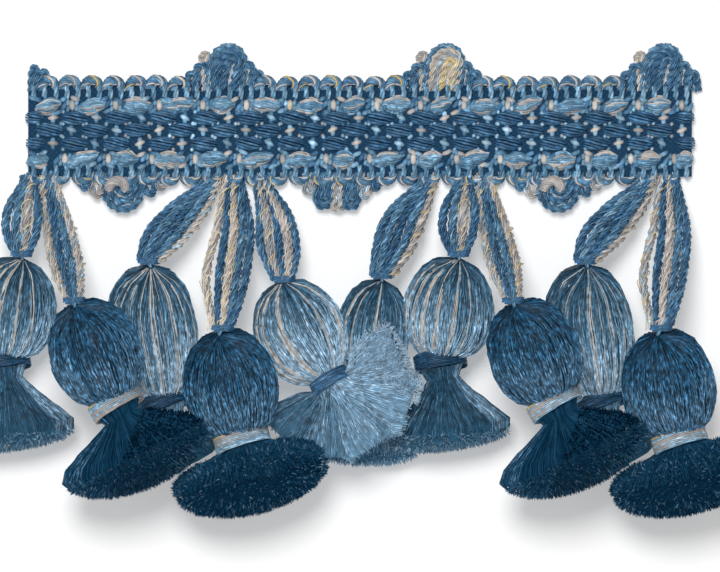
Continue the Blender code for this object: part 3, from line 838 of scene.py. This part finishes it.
# count of an outline's stations, from the neck, that the strands run over
RIMS = {BELL: 7, DOME: 6, CONE: 8, FAN: 8}
TASSELS = {
    # line: top of the head, its middle and the neck. head and neck: half width, half thickness.
    # pole: where the strands start, as a direction across, along and up. way: direction of the
    # neck. skirt: for each lobe its hem, half width, half thickness, outline and tone.
    # streaks: first and last angle, count, thickness and tone of more, lighter strands on one side of the
    # skirt, painted highlights.
    # pile: cut ends past a point, in a direction, with their tone and its spread. stripes on
    # the head: angle, spread and count. brighter, ring and ring_tones: added to the head's
    # tone, and the width and tones of the binding, where they aren't the usual ones.
    "dark_left": {
        "line": ((-52.3, -3.2, 15.4), (-50.2, -12.5, 16.4), (-46.0, -23.2, 14.8)),
        "head": (8.5, 6.3),
        "neck": (4.7, 4.0),
        "pole": (-0.2, -0.84, 0.50),
        "way": (0.50, -0.86),
        "skirt": (((-39.6, -38.6, 12.4), 15.3, 7.0, BELL, 0.30),),
        "highlight_streaks": ((140, 185, 60, 0.12, 0.58),),
        "pile": (((-43.6, -31.0), (0.93, -0.36), 0.0, 0.30), ((-42.6, -33.2), (0.45, -0.89), 0.40, 0.40)),
    },
    "dark_middle": {
        "line": ((-24.9, -8.7, 12.2), (-24.6, -18.6, 12.6), (-22.3, -30.2, 11.6)),
        "head": (8.7, 6.3),
        "neck": (4.7, 4.0),
        "pole": (-0.2, -0.86, 0.47),
        "way": (0.29, -0.957),
        "skirt": (((-19.0, -43.4, 9.4), 14.9, 7.2, DOME, 0.34),),
        "highlight_streaks": ((155, 200, 50, 0.12, 0.50),),
        "pile": (((-22.6, -32.7), (0.30, -0.95), 0.23, 0.60),),
    },
    "light_left": {
        "line": ((-39.9, 3.4, 6.2), (-39.6, -7.4, 6.3), (-37.2, -23.2, 3.8)),
        "head": (8.3, 6.2),
        "neck": (4.2, 2.4),
        "pole": (0.03, -0.93, 0.37),
        "way": (0.38, -0.93),
        "skirt": (((-32.4, -35.0, 2.4), 7.4, 2.2, CONE, 0.40),),
        "stripes": (
            (24, 3, 1), (40, 4, 2), (60, 5, 3), (75, 2, 1), (88, 7, 3), (104, 3, 1),
            (121, 6, 2), (135, 2, 1), (148, 6, 3), (200, 4, 3), (250, 4, 3), (310, 4, 3),
        ),
    },
    "light_crushed": {
        "line": ((-14.4, 0.2, 6.2), (-11.8, -8.6, 6.8), (-5.6, -19.2, 9.8)),
        "head": (8.3, 6.0),
        "brighter": 0.08,
        "neck": (3.3, 2.6),
        "ring": 2.2,
        "ring_tones": (0.10, 0.50),
        "pole": (-0.05, -0.95, 0.30),
        "way": (0.50, -0.86),
        "skirt": (
            ((7.4, -12.4, 9.6), 5.8, 2.0, FAN, 0.59),
            ((10.0, -24.2, 10.4), 6.6, 2.2, FAN, 0.56),
            ((2.6, -32.2, 10.8), 5.8, 2.2, FAN, 0.52),
            ((-5.4, -34.2, 9.6), 5.4, 2.2, FAN, 0.43),
            ((-15.6, -29.6, 8.2), 5.2, 2.0, FAN, 0.36),
        ),
        "pile": (((3.4, -18.6), (0.55, 0.83), 0.645, 0.02),),
        "stripes": ((30, 5, 5), (60, 4, 4), (112, 7, 9), (140, 5, 6), (158, 4, 4), (250, 6, 6)),
    },
    "light_hidden": {
        "line": ((3.9, 0.4, 5.2), (2.6, -8.6, 5.3), (1.6, -20.6, 3.4)),
        "head": (6.8, 5.3),
        "neck": (3.6, 2.4),
        "pole": (0.05, -0.95, 0.30),
        "way": (-0.06, -0.99),
        "skirt": (((1.6, -34.6, 2.8), 9.6, 2.4, CONE, 0.50),),
        "pile": (((1.6, -31.6), (0.0, -1.0), 0.50, 0.15),),
        "stripes": ((88, 3, 4), (124, 3, 3), (142, 4, 4), (270, 5, 5)),
    },
    "light_right": {
        "line": ((15.8, 4.8, 6.2), (16.7, -4.8, 6.4), (15.2, -15.4, 5.4)),
        "head": (8.4, 6.3),
        "neck": (4.4, 3.7),
        "pole": (0.34, -0.90, 0.28),
        "way": (0.16, -0.985),
        "skirt": (((17.6, -31.6, 4.6), 12.0, 4.2, CONE, 0.22),),
        "highlight_streaks": ((8, 48, 90, 0.12, 0.52), (140, 170, 50, 0.12, 0.40)),
        "pile": (((17.6, -29.0), (0.05, -1.0), 0.40, 0.30),),
        "stripes": (
            (62, 3, 2), (82, 4, 3), (104, 5, 4), (122, 6, 5),
            (139, 5, 4), (155, 4, 3), (230, 5, 5), (290, 5, 5),
        ),
    },
}
NAVY_STOPS = (
    (0.00, (0.0006, 0.007, 0.018)),
    (0.25, (0.0035, 0.038, 0.082)),
    (0.50, (0.020, 0.082, 0.155)),
    (0.75, (0.100, 0.185, 0.275)),
    (1.00, (0.26, 0.40, 0.52)),
)
SILK_STOPS = (
    (0.00, (0.004, 0.026, 0.055)),
    (0.25, (0.018, 0.078, 0.14)),
    (0.50, (0.14, 0.265, 0.38)),
    (0.64, (0.32, 0.47, 0.60)),
    (0.68, (0.35, 0.35, 0.345)),
    (0.86, (0.60, 0.56, 0.51)),
    (0.92, (0.58, 0.43, 0.16)),
    (1.00, (0.80, 0.70, 0.40)),
)
YARNS = {
    # colour: finish, finish of the cut ends, slot, tone of the head, tone of the core, dark as a painted
    # shade between the strands
    "dark": (
        yarn_material("navy_silk", NAVY_STOPS, 0.42, 0.22, dull=0.42, bright=3.4, mottle_and_sheen=0.45),
        yarn_material("navy_cut_ends", NAVY_STOPS, 0.8, 0.02, dull=1.0, bright=1.0),
        "navy_yarn",
        0.625,
        0.12,
    ),
    "light": (
        yarn_material("light_silk", SILK_STOPS, 0.42, 0.25, dull=0.6, bright=2.2, mottle_and_sheen=0.35),
        yarn_material("light_cut_ends", SILK_STOPS, 0.8, 0.05, dull=1.0, bright=1.0),
        "light_yarn",
        0.56,
        0.26,
    ),
}
HEAD_STEPS = 24
HEAD_START = 0.07
POLE_REACH = 1.9
BELLY_SKEW = 0.10
NECK_TUCK = 0.3
RING_HALF = 1.3
RING_SHARE = 0.8
LOBE_TURN = 3
NECK_FADE = 0.5
LOBE_SWELL = 1.15
SKIN_SIDES = 28
SKIN_FLOOR = 0.05
HEAD_CORE = 0.955
SKIRT_CORE = 0.93
LOBE_SHADE = 0.06
PILE_SKIN = 0.98
CLEAR_OF_TABLE = 1.3
# dark_start darkens each head strand near the pole, a painted shade on the top of the head.
HEAD_YARN = dict(
    count=300, steps=14, thickness=0.145, lift_spread=0.10, wave=1.3, tone_spread=0.14, clump=0.32,
    dark_start=0.42,
)
STRIPE_YARN = dict(
    steps=13, thickness=0.13, lift=0.17, wave=0.7, tone=0.75, tone_spread=0.08,
)
SKIRT_YARN = dict(
    steps=7, lift=-0.1, lift_spread=0.14, wave=1.2, ragged=0.1, tip=0.5, tone_spread=0.12,
    clump=0.3,
)
PILE_YARN = dict(density=7.0e6, radius=0.17, length=0.95, lean=0.45)
# Steps of the wave's and the lock's noise from strand to strand and along a strand, the share of
# a strand where its wave is whole, the rate at which its painted first shade fades, and the last blue
# tone.
WAVE_APART = 0.37
LOCK_ACROSS = 0.16
LOCK_ALONG = 2.5
WAVE_START = 0.25
SHADE_FADE = 1.4
LAST_BLUE = 0.63


def fan_out_tree():
    """Strands over a form: copies of its line, each moved out to the form's skin at its own angle."""
    inputs = {
        "Count": 100, "First Angle": 0.0, "Last Angle": 2 * math.pi, "Steps": 14, "Lift": 0.0,
        "Lift Spread": 0.0001, "Wave": 0.0, "Wave Size": 0.003, "Ragged": 0.0, "Tip": 1.0,
        "Thickness": 0.0002, "Sides": 3, "Tone": 0.4, "Tone Spread": 0.1, "Clump": 0.0,
        "Dark Start": 0.0, "Seed": 1, "Finish": None,
    }
    tree, socket = new_tree("fan_out", inputs)
    seed = socket["Seed"]
    line = output(tree, "GeometryNodeMeshToCurve", {"Mesh": socket["Piece"]})
    copies = copied(evenly(line, socket["Steps"]), socket["Count"])
    rank = copies[1]

    def by_rank(low, high, more):
        return drawn(low, high, plus(seed, more), ID=rank)

    # The strands stand round the form, each near its own share of the way round.
    place = maths("DIVIDE", plus(rank, by_rank(-0.6, 0.6, 1)), socket["Count"])
    span = minus(socket["Last Angle"], socket["First Angle"])
    angle = maths("MULTIPLY_ADD", place, span, socket["First Angle"])
    across = scaled(named(tree, "across", "FLOAT_VECTOR"), maths("COSINE", angle))
    up = scaled(named(tree, "up", "FLOAT_VECTOR"), maths("SINE", angle))
    out = vectors("ADD", across, up)
    stray = times(by_rank(-1.0, 1.0, 2), socket["Lift Spread"])
    rise = plus(socket["Lift"], stray)
    out = vectors("ADD", out, scaled(vectors("NORMALIZE", out), rise))
    fanned = moved(copies[0], out)

    # Past its start each of them wanders a little.
    factor = along(tree, "Factor")
    here = output(tree, "GeometryNodeInputPosition")
    spot = scaled(here, maths("DIVIDE", 1.0, socket["Wave Size"]))
    spot = vectors("ADD", spot, combined(Z=times(rank, WAVE_APART)))
    free = maths("MINIMUM", times(factor, 1 / WAVE_START), 1.0)
    wave = scaled(wander(spot, 1.0), times(socket["Wave"], free))
    fanned = moved(fanned, wave)
    taper = maths("MULTIPLY_ADD", factor, minus(socket["Tip"], 1.0), 1.0)
    size = times(socket["Thickness"], by_rank(0.7, 1.3, 3))
    fanned = store(fanned, "size", times(size, taper))

    # Tones differ from strand to strand and in locks, are painted darker near each strand's start, a
    # painted shade on the top of the head, and stay blue unless the yarn is taupe.
    tone = maths("MULTIPLY_ADD", by_rank(-1.0, 1.0, 4), socket["Tone Spread"], socket["Tone"])
    lock = combined(X=times(rank, LOCK_ACROSS), Y=times(factor, LOCK_ALONG))
    lock = minus(noise(lock, 1.0, 1.0)[0], 0.5)
    tone = maths("MULTIPLY_ADD", lock, socket["Clump"], tone)
    lit = maths("MINIMUM", times(factor, SHADE_FADE), 1.0)
    shade = times(minus(1.0, lit), socket["Dark Start"])
    tone = maths("MAXIMUM", minus(tone, shade), 0.0)
    limit = plus(LAST_BLUE, maths("GREATER_THAN", socket["Tone"], FIRST_TAUPE))
    fanned = store(fanned, "tone", maths("MINIMUM", tone, limit))
    fanned = along_and_strand(fanned, seed)
    stop = times(drawn(0.0, 1.0, seed), socket["Ragged"])
    trimmed = {"Curve": fanned, "End": minus(1.0, stop)}
    fanned = output(tree, "GeometryNodeTrimCurve", trimmed, mode="FACTOR")
    tubes(fanned, socket["Sides"], named(tree, "size"), socket["Finish"])
    return tree


def cut_pile_tree():
    """Short cut ends standing on a skin, only where it lies past a plane and clear of the table."""
    inputs = {
        "Density": 4.0e6, "Edge": ORIGIN, "Way": (0.0, -1.0, 0.0), "Radius": 0.00022,
        "Length": 0.0012, "Lean": 0.5, "Tone": 0.3, "Tone Spread": 0.2, "Seed": 1, "Finish": None,
    }
    tree, socket = new_tree("cut_pile", inputs)
    seed = socket["Seed"]
    here = output(tree, "GeometryNodeInputPosition")
    planar = {0: vectors("SUBTRACT", here, socket["Edge"]), 1: socket["Way"]}
    past = add_node(tree, "ShaderNodeVectorMath", planar, operation="DOT_PRODUCT").outputs["Value"]
    height = add_node(tree, "ShaderNodeSeparateXYZ", {0: here}).outputs[2]
    clear = maths("GREATER_THAN", height, times(socket["Length"], CLEAR_OF_TABLE))
    scattered = {"Mesh": socket["Piece"], "Density": socket["Density"], "Seed": seed}
    spots = add_node(tree, "GeometryNodeDistributePointsOnFaces", scattered, distribute_method="RANDOM")
    way = vectors("ADD", spots.outputs[1], scaled(drawn_vector(seed), socket["Lean"]))
    cone = {
        "Vertices": 3, "Side Segments": 1, "Radius Top": 0.0, "Radius Bottom": socket["Radius"],
        "Depth": socket["Length"],
    }
    standing = {
        "Points": spots.outputs[0],
        "Selection": times(maths("GREATER_THAN", past, 0.0), clear),
        "Instance": output(tree, "GeometryNodeMeshCone", cone, fill_type="NGON"),
        "Rotation": output(tree, "FunctionNodeAlignRotationToVector", {"Vector": way}, axis="Z"),
        "Scale": drawn(0.6, 1.25, seed),
    }
    standing = output(tree, "GeometryNodeInstanceOnPoints", standing)
    light = maths("POWER", drawn(0.0, 1.0, plus(seed, 9)), 4.0)
    tone = maths("MULTIPLY_ADD", light, socket["Tone Spread"], socket["Tone"])
    give_back(store(standing, "tone", tone, "INSTANCE"), socket["Finish"])
    return tree


def curve_through(points, share):
    """Point and direction on a smooth curve through evenly spaced points, share from 0 to 1."""
    spans = len(points) - 1
    place = min(max(share * spans, 0.0), spans - 1e-6)
    index = int(place)
    part = place - index
    before = points[index - 1] if index else 2 * points[0] - points[1]
    after = points[index + 2] if index + 2 <= spans else 2 * points[-1] - points[-2]
    first, last = points[index], points[index + 1]
    point = 0.5 * (
        2 * first
        + part * (last - before)
        + part**2 * (2 * before - 5 * first + 4 * last - after)
        + part**3 * (3 * first - before - 3 * last + after)
    )
    slope = 0.5 * (
        (last - before)
        + 2 * part * (2 * before - 5 * first + 4 * last - after)
        + 3 * part**2 * (3 * first - before - 3 * last + after)
    )
    return point, slope.normalized()


def axes(along):
    """Level direction across a line, and the upward direction square to both."""
    # normalized twice, so that its length is one to the last digit
    across = Vector((-along.y, along.x, 0.0)).normalized().normalized()
    up = across.cross(along).normalized()
    return across, up if up.z > 0 else -up


def head_form(kind, shift):
    """Stations from the pole to the neck: centre, half width across and half thickness up."""
    line = [Vector(point) + Vector((shift, 0, 0)) for point in kind["line"]]
    line[2] = line[2] - (line[2] - line[1]).normalized() * RING_HALF
    width, thickness = kind["head"]
    neck_width, neck_thickness = (size - NECK_TUCK for size in kind["neck"])
    last = math.pi - math.asin(neck_width / width)
    reach = 1 - math.cos(last)
    half = (line[2] - line[0]).length / reach
    pole = Vector(kind["pole"]).normalized()
    stations = []
    for step in range(HEAD_STEPS + 1):
        turn = HEAD_START + (last - HEAD_START) * step / HEAD_STEPS
        ease = min(turn / POLE_REACH, 1.0)
        axis = pole.slerp(Vector((0, -1, 0)), ease * ease * (3 - 2 * ease))
        side = (Vector((1, 0, 0)) - axis * axis.x).normalized()
        rise = axis.cross(side)
        middle = axis * math.cos(turn)
        share = (1 + middle.y + BELLY_SKEW * (1 - middle.y**2)) / reach
        centre, along = curve_through(line, share)
        across, up = axes(along)
        late = max(0.0, share - 0.5) * 2
        deep = thickness + (neck_thickness / math.sin(last) - thickness) * late * late

        def placed(vector):
            return across * width * vector.x + along * half * vector.y + up * deep * vector.z

        centre = centre + placed(Vector((middle.x, 0, middle.z)))
        stations.append((centre, placed(side) * math.sin(turn), placed(rise) * math.sin(turn)))
    return stations


def skirt_form(kind, lobe, shift):
    """Stations from the neck to a lobe's hem, spreading from the neck's size to the lobe's."""
    hem, width, thickness, outline, _ = lobe
    hem = Vector(hem) + Vector((shift, 0, 0))
    neck = Vector(kind["line"][2]) + Vector((shift, 0, 0))
    neck = neck + (hem - neck).normalized() * RING_HALF * RING_SHARE
    first_across, first_up = axes(Vector((*kind["way"], 0.0)))
    last_across, last_up = axes((hem - neck).normalized())
    neck_width, neck_thickness = (size - NECK_TUCK for size in kind["neck"])
    stations = []
    for share, size in outline:
        turned = min(1.0, LOBE_TURN * share)
        across = first_across.lerp(last_across, turned).normalized()
        up = first_up.lerp(last_up, turned).normalized()
        start = max(0.0, 1 - share / NECK_FADE)
        wide = max(width * size, neck_width * start)
        thick = max(thickness * min(1.0, size * LOBE_SWELL), neck_thickness * start)
        stations.append((neck.lerp(hem, share), across * wide, up * thick))
    return stations


def form_line(stations):
    """The line of a form as a mesh of edges that carries its two half axes at each point."""
    mesh = bpy.data.meshes.new("form")
    centres = [at(*centre) for centre, _, _ in stations]
    mesh.from_pydata(centres, [(step, step + 1) for step in range(len(centres) - 1)], [])
    for key, place in (("across", 1), ("up", 2)):
        values = [value * MM for station in stations for value in station[place]]
        mesh.attributes.new(key, "FLOAT_VECTOR", "POINT").data.foreach_set("vector", values)
    return mesh


def form_skin(stations, scale, tone, finish, inset=1.0):
    """Closed skin of a form, kept above the table, drawn in towards the form's middle by inset."""
    points = []
    heart = sum((centre for centre, _, _ in stations), Vector()) / len(stations)
    for centre, across, up in stations:
        centre, across, up = heart.lerp(centre, inset), across * inset, up * inset
        for side in range(SKIN_SIDES):
            angle = 2 * math.pi * side / SKIN_SIDES
            x, y, z = centre + (across * math.cos(angle) + up * math.sin(angle)) * scale
            points.append(at(x, y, max(z, SKIN_FLOOR)))
    faces = []
    for ring in range(len(stations) - 1):
        for side in range(SKIN_SIDES):
            after = (side + 1) % SKIN_SIDES
            low, high = ring * SKIN_SIDES, (ring + 1) * SKIN_SIDES
            faces.append((low + side, low + after, high + after, high + side))
    last = (len(stations) - 1) * SKIN_SIDES
    faces.append(tuple(range(SKIN_SIDES - 1, -1, -1)))
    faces.append(tuple(range(last, last + SKIN_SIDES)))
    mesh = bpy.data.meshes.new("skin")
    mesh.from_pydata(points, [], faces)
    mesh.shade_smooth()
    mesh.materials.append(finish)
    mesh.attributes.new("tone", "FLOAT", "POINT").data.foreach_set("value", [tone] * len(points))
    return mesh


fan_out = fan_out_tree()
cut_pile = cut_pile_tree()


def strands(line, first, last, **values):
    """Strands over a form from one angle to another, in degrees."""
    angles = {"first_angle": math.radians(first), "last_angle": math.radians(last)}
    return grown(fan_out, line, **angles, **values)


for number, (place, tassel, _, shift, _) in enumerate(PLACES):
    kind = TASSELS[tassel]
    finish, cut_finish, slot, head_tone, core_shade_tone = YARNS[place.split("_")[0]]
    silk = {"wave_size": 4.0, "finish": finish}
    head = head_form(kind, shift)
    head_line = form_line(head)
    head_tone += kind.get("brighter", 0.0)
    # The head's core skin is dark, a painted shade in the gaps between its strands.
    meshes = [
        form_skin(head, 1.0, core_shade_tone, finish, inset=HEAD_CORE),
        strands(head_line, -180, 180, **silk, **HEAD_YARN, tone=head_tone, seed=number),
    ]
    for angle, spread, count in kind.get("stripes", ()):
        stripe = {**silk, **STRIPE_YARN, "count": count, "seed": number + angle}
        meshes.append(strands(head_line, angle - spread / 2, angle + spread / 2, **stripe))
    for rank, lobe in enumerate(kind["skirt"]):
        *_, outline, lobe_tone = lobe
        skirt = skirt_form(kind, lobe, shift)
        skirt_line = form_line(skirt[: RIMS[outline]])
        single = len(kind["skirt"]) == 1
        # Under the strands lies a dark core skin, a painted shade between them: the core tone under a
        # single skirt, the lobe's tone less LOBE_SHADE under each of several lobes.
        if single:
            meshes.append(form_skin(skirt, SKIRT_CORE, core_shade_tone, cut_finish))
        else:
            meshes.append(form_skin(skirt[:-1], SKIRT_CORE, lobe_tone - LOBE_SHADE, cut_finish))
        sides = (
            # first angle, last angle, count, thickness, tone
            (-20, 200, 270 if single else 150, 0.14 if single else 0.12, lobe_tone),
            (200, 340, 60 if single else 30, 0.26, lobe_tone),
            *kind.get("highlight_streaks", ()),
        )
        for first, last, count, thick, tone in sides:
            # The dark skirts' own strands take the finish without painted glints. The lighter streaks,
            # painted highlights, keep the glinting finish.
            dull = place.startswith("dark") and tone == lobe_tone
            side = {**silk, **SKIRT_YARN, "count": count, "thickness": thick, "tone": tone}
            side["seed"] = number + 20 + rank
            side["finish"] = cut_finish if dull else finish
            meshes.append(strands(skirt_line, first, last, **side))
        for (edge_x, edge_y), pile_way, tone, spread in kind.get("pile", ()):
            skin = form_skin(skirt, PILE_SKIN, core_shade_tone, cut_finish)
            plane = {"edge": at(edge_x + shift, edge_y), "way": Vector((*pile_way, 0.0))}
            tones = {"tone": tone, "tone_spread": spread}
            ends = grown(cut_pile, skin, **plane, **tones, **PILE_YARN, seed=number, finish=cut_finish)
            meshes.append(ends)
    yarn = joined(f"yarn_{place}", meshes)
    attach(yarn, "root")
    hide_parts(f"tassel_{place}")

# Bindings. Each neck is bound with a flat winding of fine shiny yarn. It is taupe with a few
# blue turns and a gold one on the dark tassels, and dark blue on the light ones, but lighter
# and narrower on the crushed one.
BINDING_WIDTH = 3.0
BINDING_TURNS = 9
BINDING_GAP = 0.45
BINDING_TILT = 0.7
BINDING_FLOOR = 0.3
TURN_STEPS = 24
TAUPE_TURNS = (0.55, 0.61, 0.65, 0.66, 0.67, 0.70)
GOLD_TURN = 0.91
BLUE_TURNS = (0.02, 0.16)
BINDING_YARN = dict(
    steps=32, strands=3, strand_spread=0.16, strand_pitch=14.0, thickness=0.16, sides=3,
    tone_spread=0.03,
)
for place, tassel, _, shift, _ in PLACES:
    kind = TASSELS[tassel]
    neck = Vector(kind["line"][2]) + Vector((shift, 0, 0))
    way = Vector((*kind["way"], 0.0)).normalized()
    across, up = axes(way)
    width, thickness = (size + BINDING_GAP for size in kind["neck"])
    dark = place.startswith("dark")
    turns = []
    for turn in range(BINDING_TURNS):
        course = []
        for step in range(TURN_STEPS + 1):
            angle = 2 * math.pi * step / TURN_STEPS
            run = kind.get("ring", BINDING_WIDTH) * ((turn + step / TURN_STEPS) / BINDING_TURNS - 0.5)
            run -= BINDING_TILT * math.sin(angle)
            point = neck + way * run + across * width * math.cos(angle) + up * thickness * math.sin(angle)
            course.append(at(point.x, point.y, max(point.z, BINDING_FLOOR)))
        if dark:
            tone = chance.choice(TAUPE_TURNS)
        else:
            tone = chance.uniform(*kind.get("ring_tones", BLUE_TURNS))
        turns.append((course, GOLD_TURN if dark and turn == 0 else tone, 1.0))
    winding = yarns(turns, **BINDING_YARN)
    winding.name = f"winding_{place}"
    binding = shown(f"winding_{place}", winding)
    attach(binding, "root")
    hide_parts(f"binding_{place}")

# Hangers. Each tassel hangs on a bunch of plied cords, mostly blue with one or two of taupe
# and gold, caught in the lower edge of the braid. They are tied together on top of the head,
# and the end of the tie goes down between the strands of the tassel.
ROOT_Y = 18.3
ROOT_HEIGHT = 1.6
TIE_SPREAD = 0.8
TIGHTNESS = 0.68
HANGERS = {
    "light_left": {
        "tie": (-40.0, 3.5, 8.0),
        "cords": (
            # root_x, upper_bow, lower_bow, upper_lift, lower_lift, tone
            (-29.8, -3.7, -4.1, 0.0, 0.0, 0.29),
            (-29.1, -2.1, -2.4, 0.9, 0.9, 0.41),
            (-28.4, -0.6, -0.7, 0.0, 0.0, 0.27),
            (-27.8, 0.9, 1.0, 0.9, 0.9, 0.38),
            (-27.2, 2.3, 2.5, -0.4, -0.4, 0.74),
        ),
    },
    "dark_middle": {
        "tie": (-26.0, -9.1, 14.8),
        "cords": (
            (-25.6, -1.4, -3.2, 0.0, 0.0, 0.74),
            (-24.9, 0.2, -0.7, 1.0, 1.0, 0.27),
            (-24.1, 1.2, 0.5, 1.6, 1.6, 0.75),
            (-23.3, 2.4, 1.7, 0.8, 0.8, 0.39),
            (-22.4, 3.4, 3.0, 0.0, 0.0, 0.29),
        ),
    },
    "light_crushed": {
        "tie": (-14.6, 0.1, 8.2),
        "cords": (
            (-19.6, -0.7, -2.0, 0.0, 0.0, 0.36),
            (-19.2, 0.2, -0.6, 0.8, 0.6, 0.74),
            (-18.6, 1.9, 1.0, 0.0, 0.0, 0.27),
            (-18.2, 2.6, 2.6, 0.9, 0.8, 0.75),
            (-17.5, 3.6, 3.6, 0.0, 0.0, 0.36),
        ),
    },
    "light_hidden": {
        "tie": (4.1, 0.8, 7.2),
        "cords": (
            (11.3, -4.3, -3.3, 0.0, 0.0, 0.30),
            (11.9, -2.9, -2.0, 0.9, 0.8, 0.40),
            (12.6, -1.5, -0.7, 0.0, 0.0, 0.27),
            (13.3, 0.0, 0.8, 0.9, 0.8, 0.38),
            (13.9, 1.4, 2.2, 0.0, 0.0, 0.73),
        ),
    },
    "light_right": {
        "tie": (18.6, 4.9, 8.4),
        "cords": (
            (18.6, -2.9, -3.1, 2.6, 1.4, 0.29),
            (19.3, -1.4, -1.5, 3.0, 1.6, 0.40),
            (20.0, 0.2, 0.2, 3.2, 1.8, 0.73),
            (20.8, 1.9, 2.0, 3.0, 2.0, 0.31),
        ),
    },
    "dark_right": {
        "tie": (28.8, -3.9, 17.8),
        "cords": (
            (22.5, -1.5, -1.9, -3.9, -3.0, 0.74),
            (23.2, -0.5, -0.6, -3.4, -2.2, 0.28),
            (24.0, 0.4, 0.7, -3.8, -2.4, 0.40),
            (24.8, 1.2, 1.9, -3.9, -2.6, 0.75),
        ),
    },
}
TAUPE_CORD = 0.6
CORD_SWELL = (0.8, 0.9, 1.0, 1.0, 0.9)
CORD = dict(
    steps=38, plies=3, ply_spread=0.51, ply_pitch=4.6, strands=3, strand_spread=0.26,
    strand_pitch=-9.0, thickness=0.25, sides=3, tone_spread=0.12, frizz=0.12,
)
GOLD_STRAND = {**CORD, "plies": 1, "ply_spread": 1.04, "strands": 1, "thickness": 0.12}
GOLD_TONE = 0.93
TIE_THREAD = dict(strands=3, strand_spread=0.2, strand_pitch=3.0, thickness=0.19)
WRAP_TONE = 0.26
DIP_TONE = 0.42
WRAP_TURNS = 2.5
WRAP_STEPS = 10
WRAP_HALF = (1.9, 1.0)
WRAP_PITCH = 0.4
WRAP_BACK = 0.5
CORD_INSIDE = Vector((0, 1.6, -0.4))


def hanger_course(cord, tie, shift, place):
    """Points of a cord from inside the braid's edge to the tie, place being its rank in the bunch."""
    root_x, upper_bow, lower_bow, upper_lift, lower_lift, _ = cord
    root = Vector((root_x + shift, ROOT_Y, ROOT_HEIGHT))
    end = Vector(tie) + Vector((shift + TIE_SPREAD * place, 0, 0))
    upper = root.lerp(end, 1 / 3) + Vector((upper_bow * TIGHTNESS, 0, upper_lift))
    lower = root.lerp(end, 2 / 3) + Vector((lower_bow * TIGHTNESS, 0, lower_lift))
    inside = root + CORD_INSIDE
    return [at(*point) for point in (inside, root, upper, lower, end)]


def wrap_course(tie):
    """Points of the turns round a tie."""
    course = []
    for step in range(int(WRAP_TURNS * WRAP_STEPS)):
        angle = 2 * math.pi * step / WRAP_STEPS
        across = math.cos(angle) * WRAP_HALF[0]
        drop = WRAP_BACK - WRAP_PITCH * step / WRAP_STEPS
        course.append(at(*(tie + Vector((across, drop, math.sin(angle) * WRAP_HALF[1])))))
    return course


def dip_course(tie, pole):
    """Points of the tie's end, from the tie down to the pole of the head."""
    first = tie + Vector((0.1, 0.2, 1.3))
    second = tie.lerp(pole, 0.4) + Vector((0, 0, 1.3))
    third = tie.lerp(pole, 0.8) + Vector((0, 0, 1.0))
    return [at(*point) for point in (first, second, third, pole)]


for number, (place, tassel, hanger, head_shift, shift) in enumerate(PLACES):
    kind = HANGERS[hanger]
    middle = (len(kind["cords"]) - 1) / 2
    courses = []
    taupe_courses = []
    for rank, cord in enumerate(kind["cords"]):
        course = hanger_course(cord, kind["tie"], shift, rank - middle)
        courses.append((course, cord[-1], CORD_SWELL))
        if cord[-1] > TAUPE_CORD:
            taupe_courses.append((course, GOLD_TONE, 1.0))
    tie = Vector(kind["tie"]) + Vector((shift, 0, 0))
    pole = head_form(TASSELS[tassel], head_shift)[0][0]
    meshes = [
        yarns(courses, **CORD, seed=number),
        yarns([(wrap_course(tie), WRAP_TONE, 0.8)], **TIE_THREAD, steps=44),
        yarns([(dip_course(tie, pole), DIP_TONE, 1.0)], **TIE_THREAD, steps=10),
    ]
    if taupe_courses:
        meshes.append(yarns(taupe_courses, **GOLD_STRAND, seed=number))
    cords = joined(f"cords_{place}", meshes)
    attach(cords, "root")
    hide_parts(f"hanger_{place}")
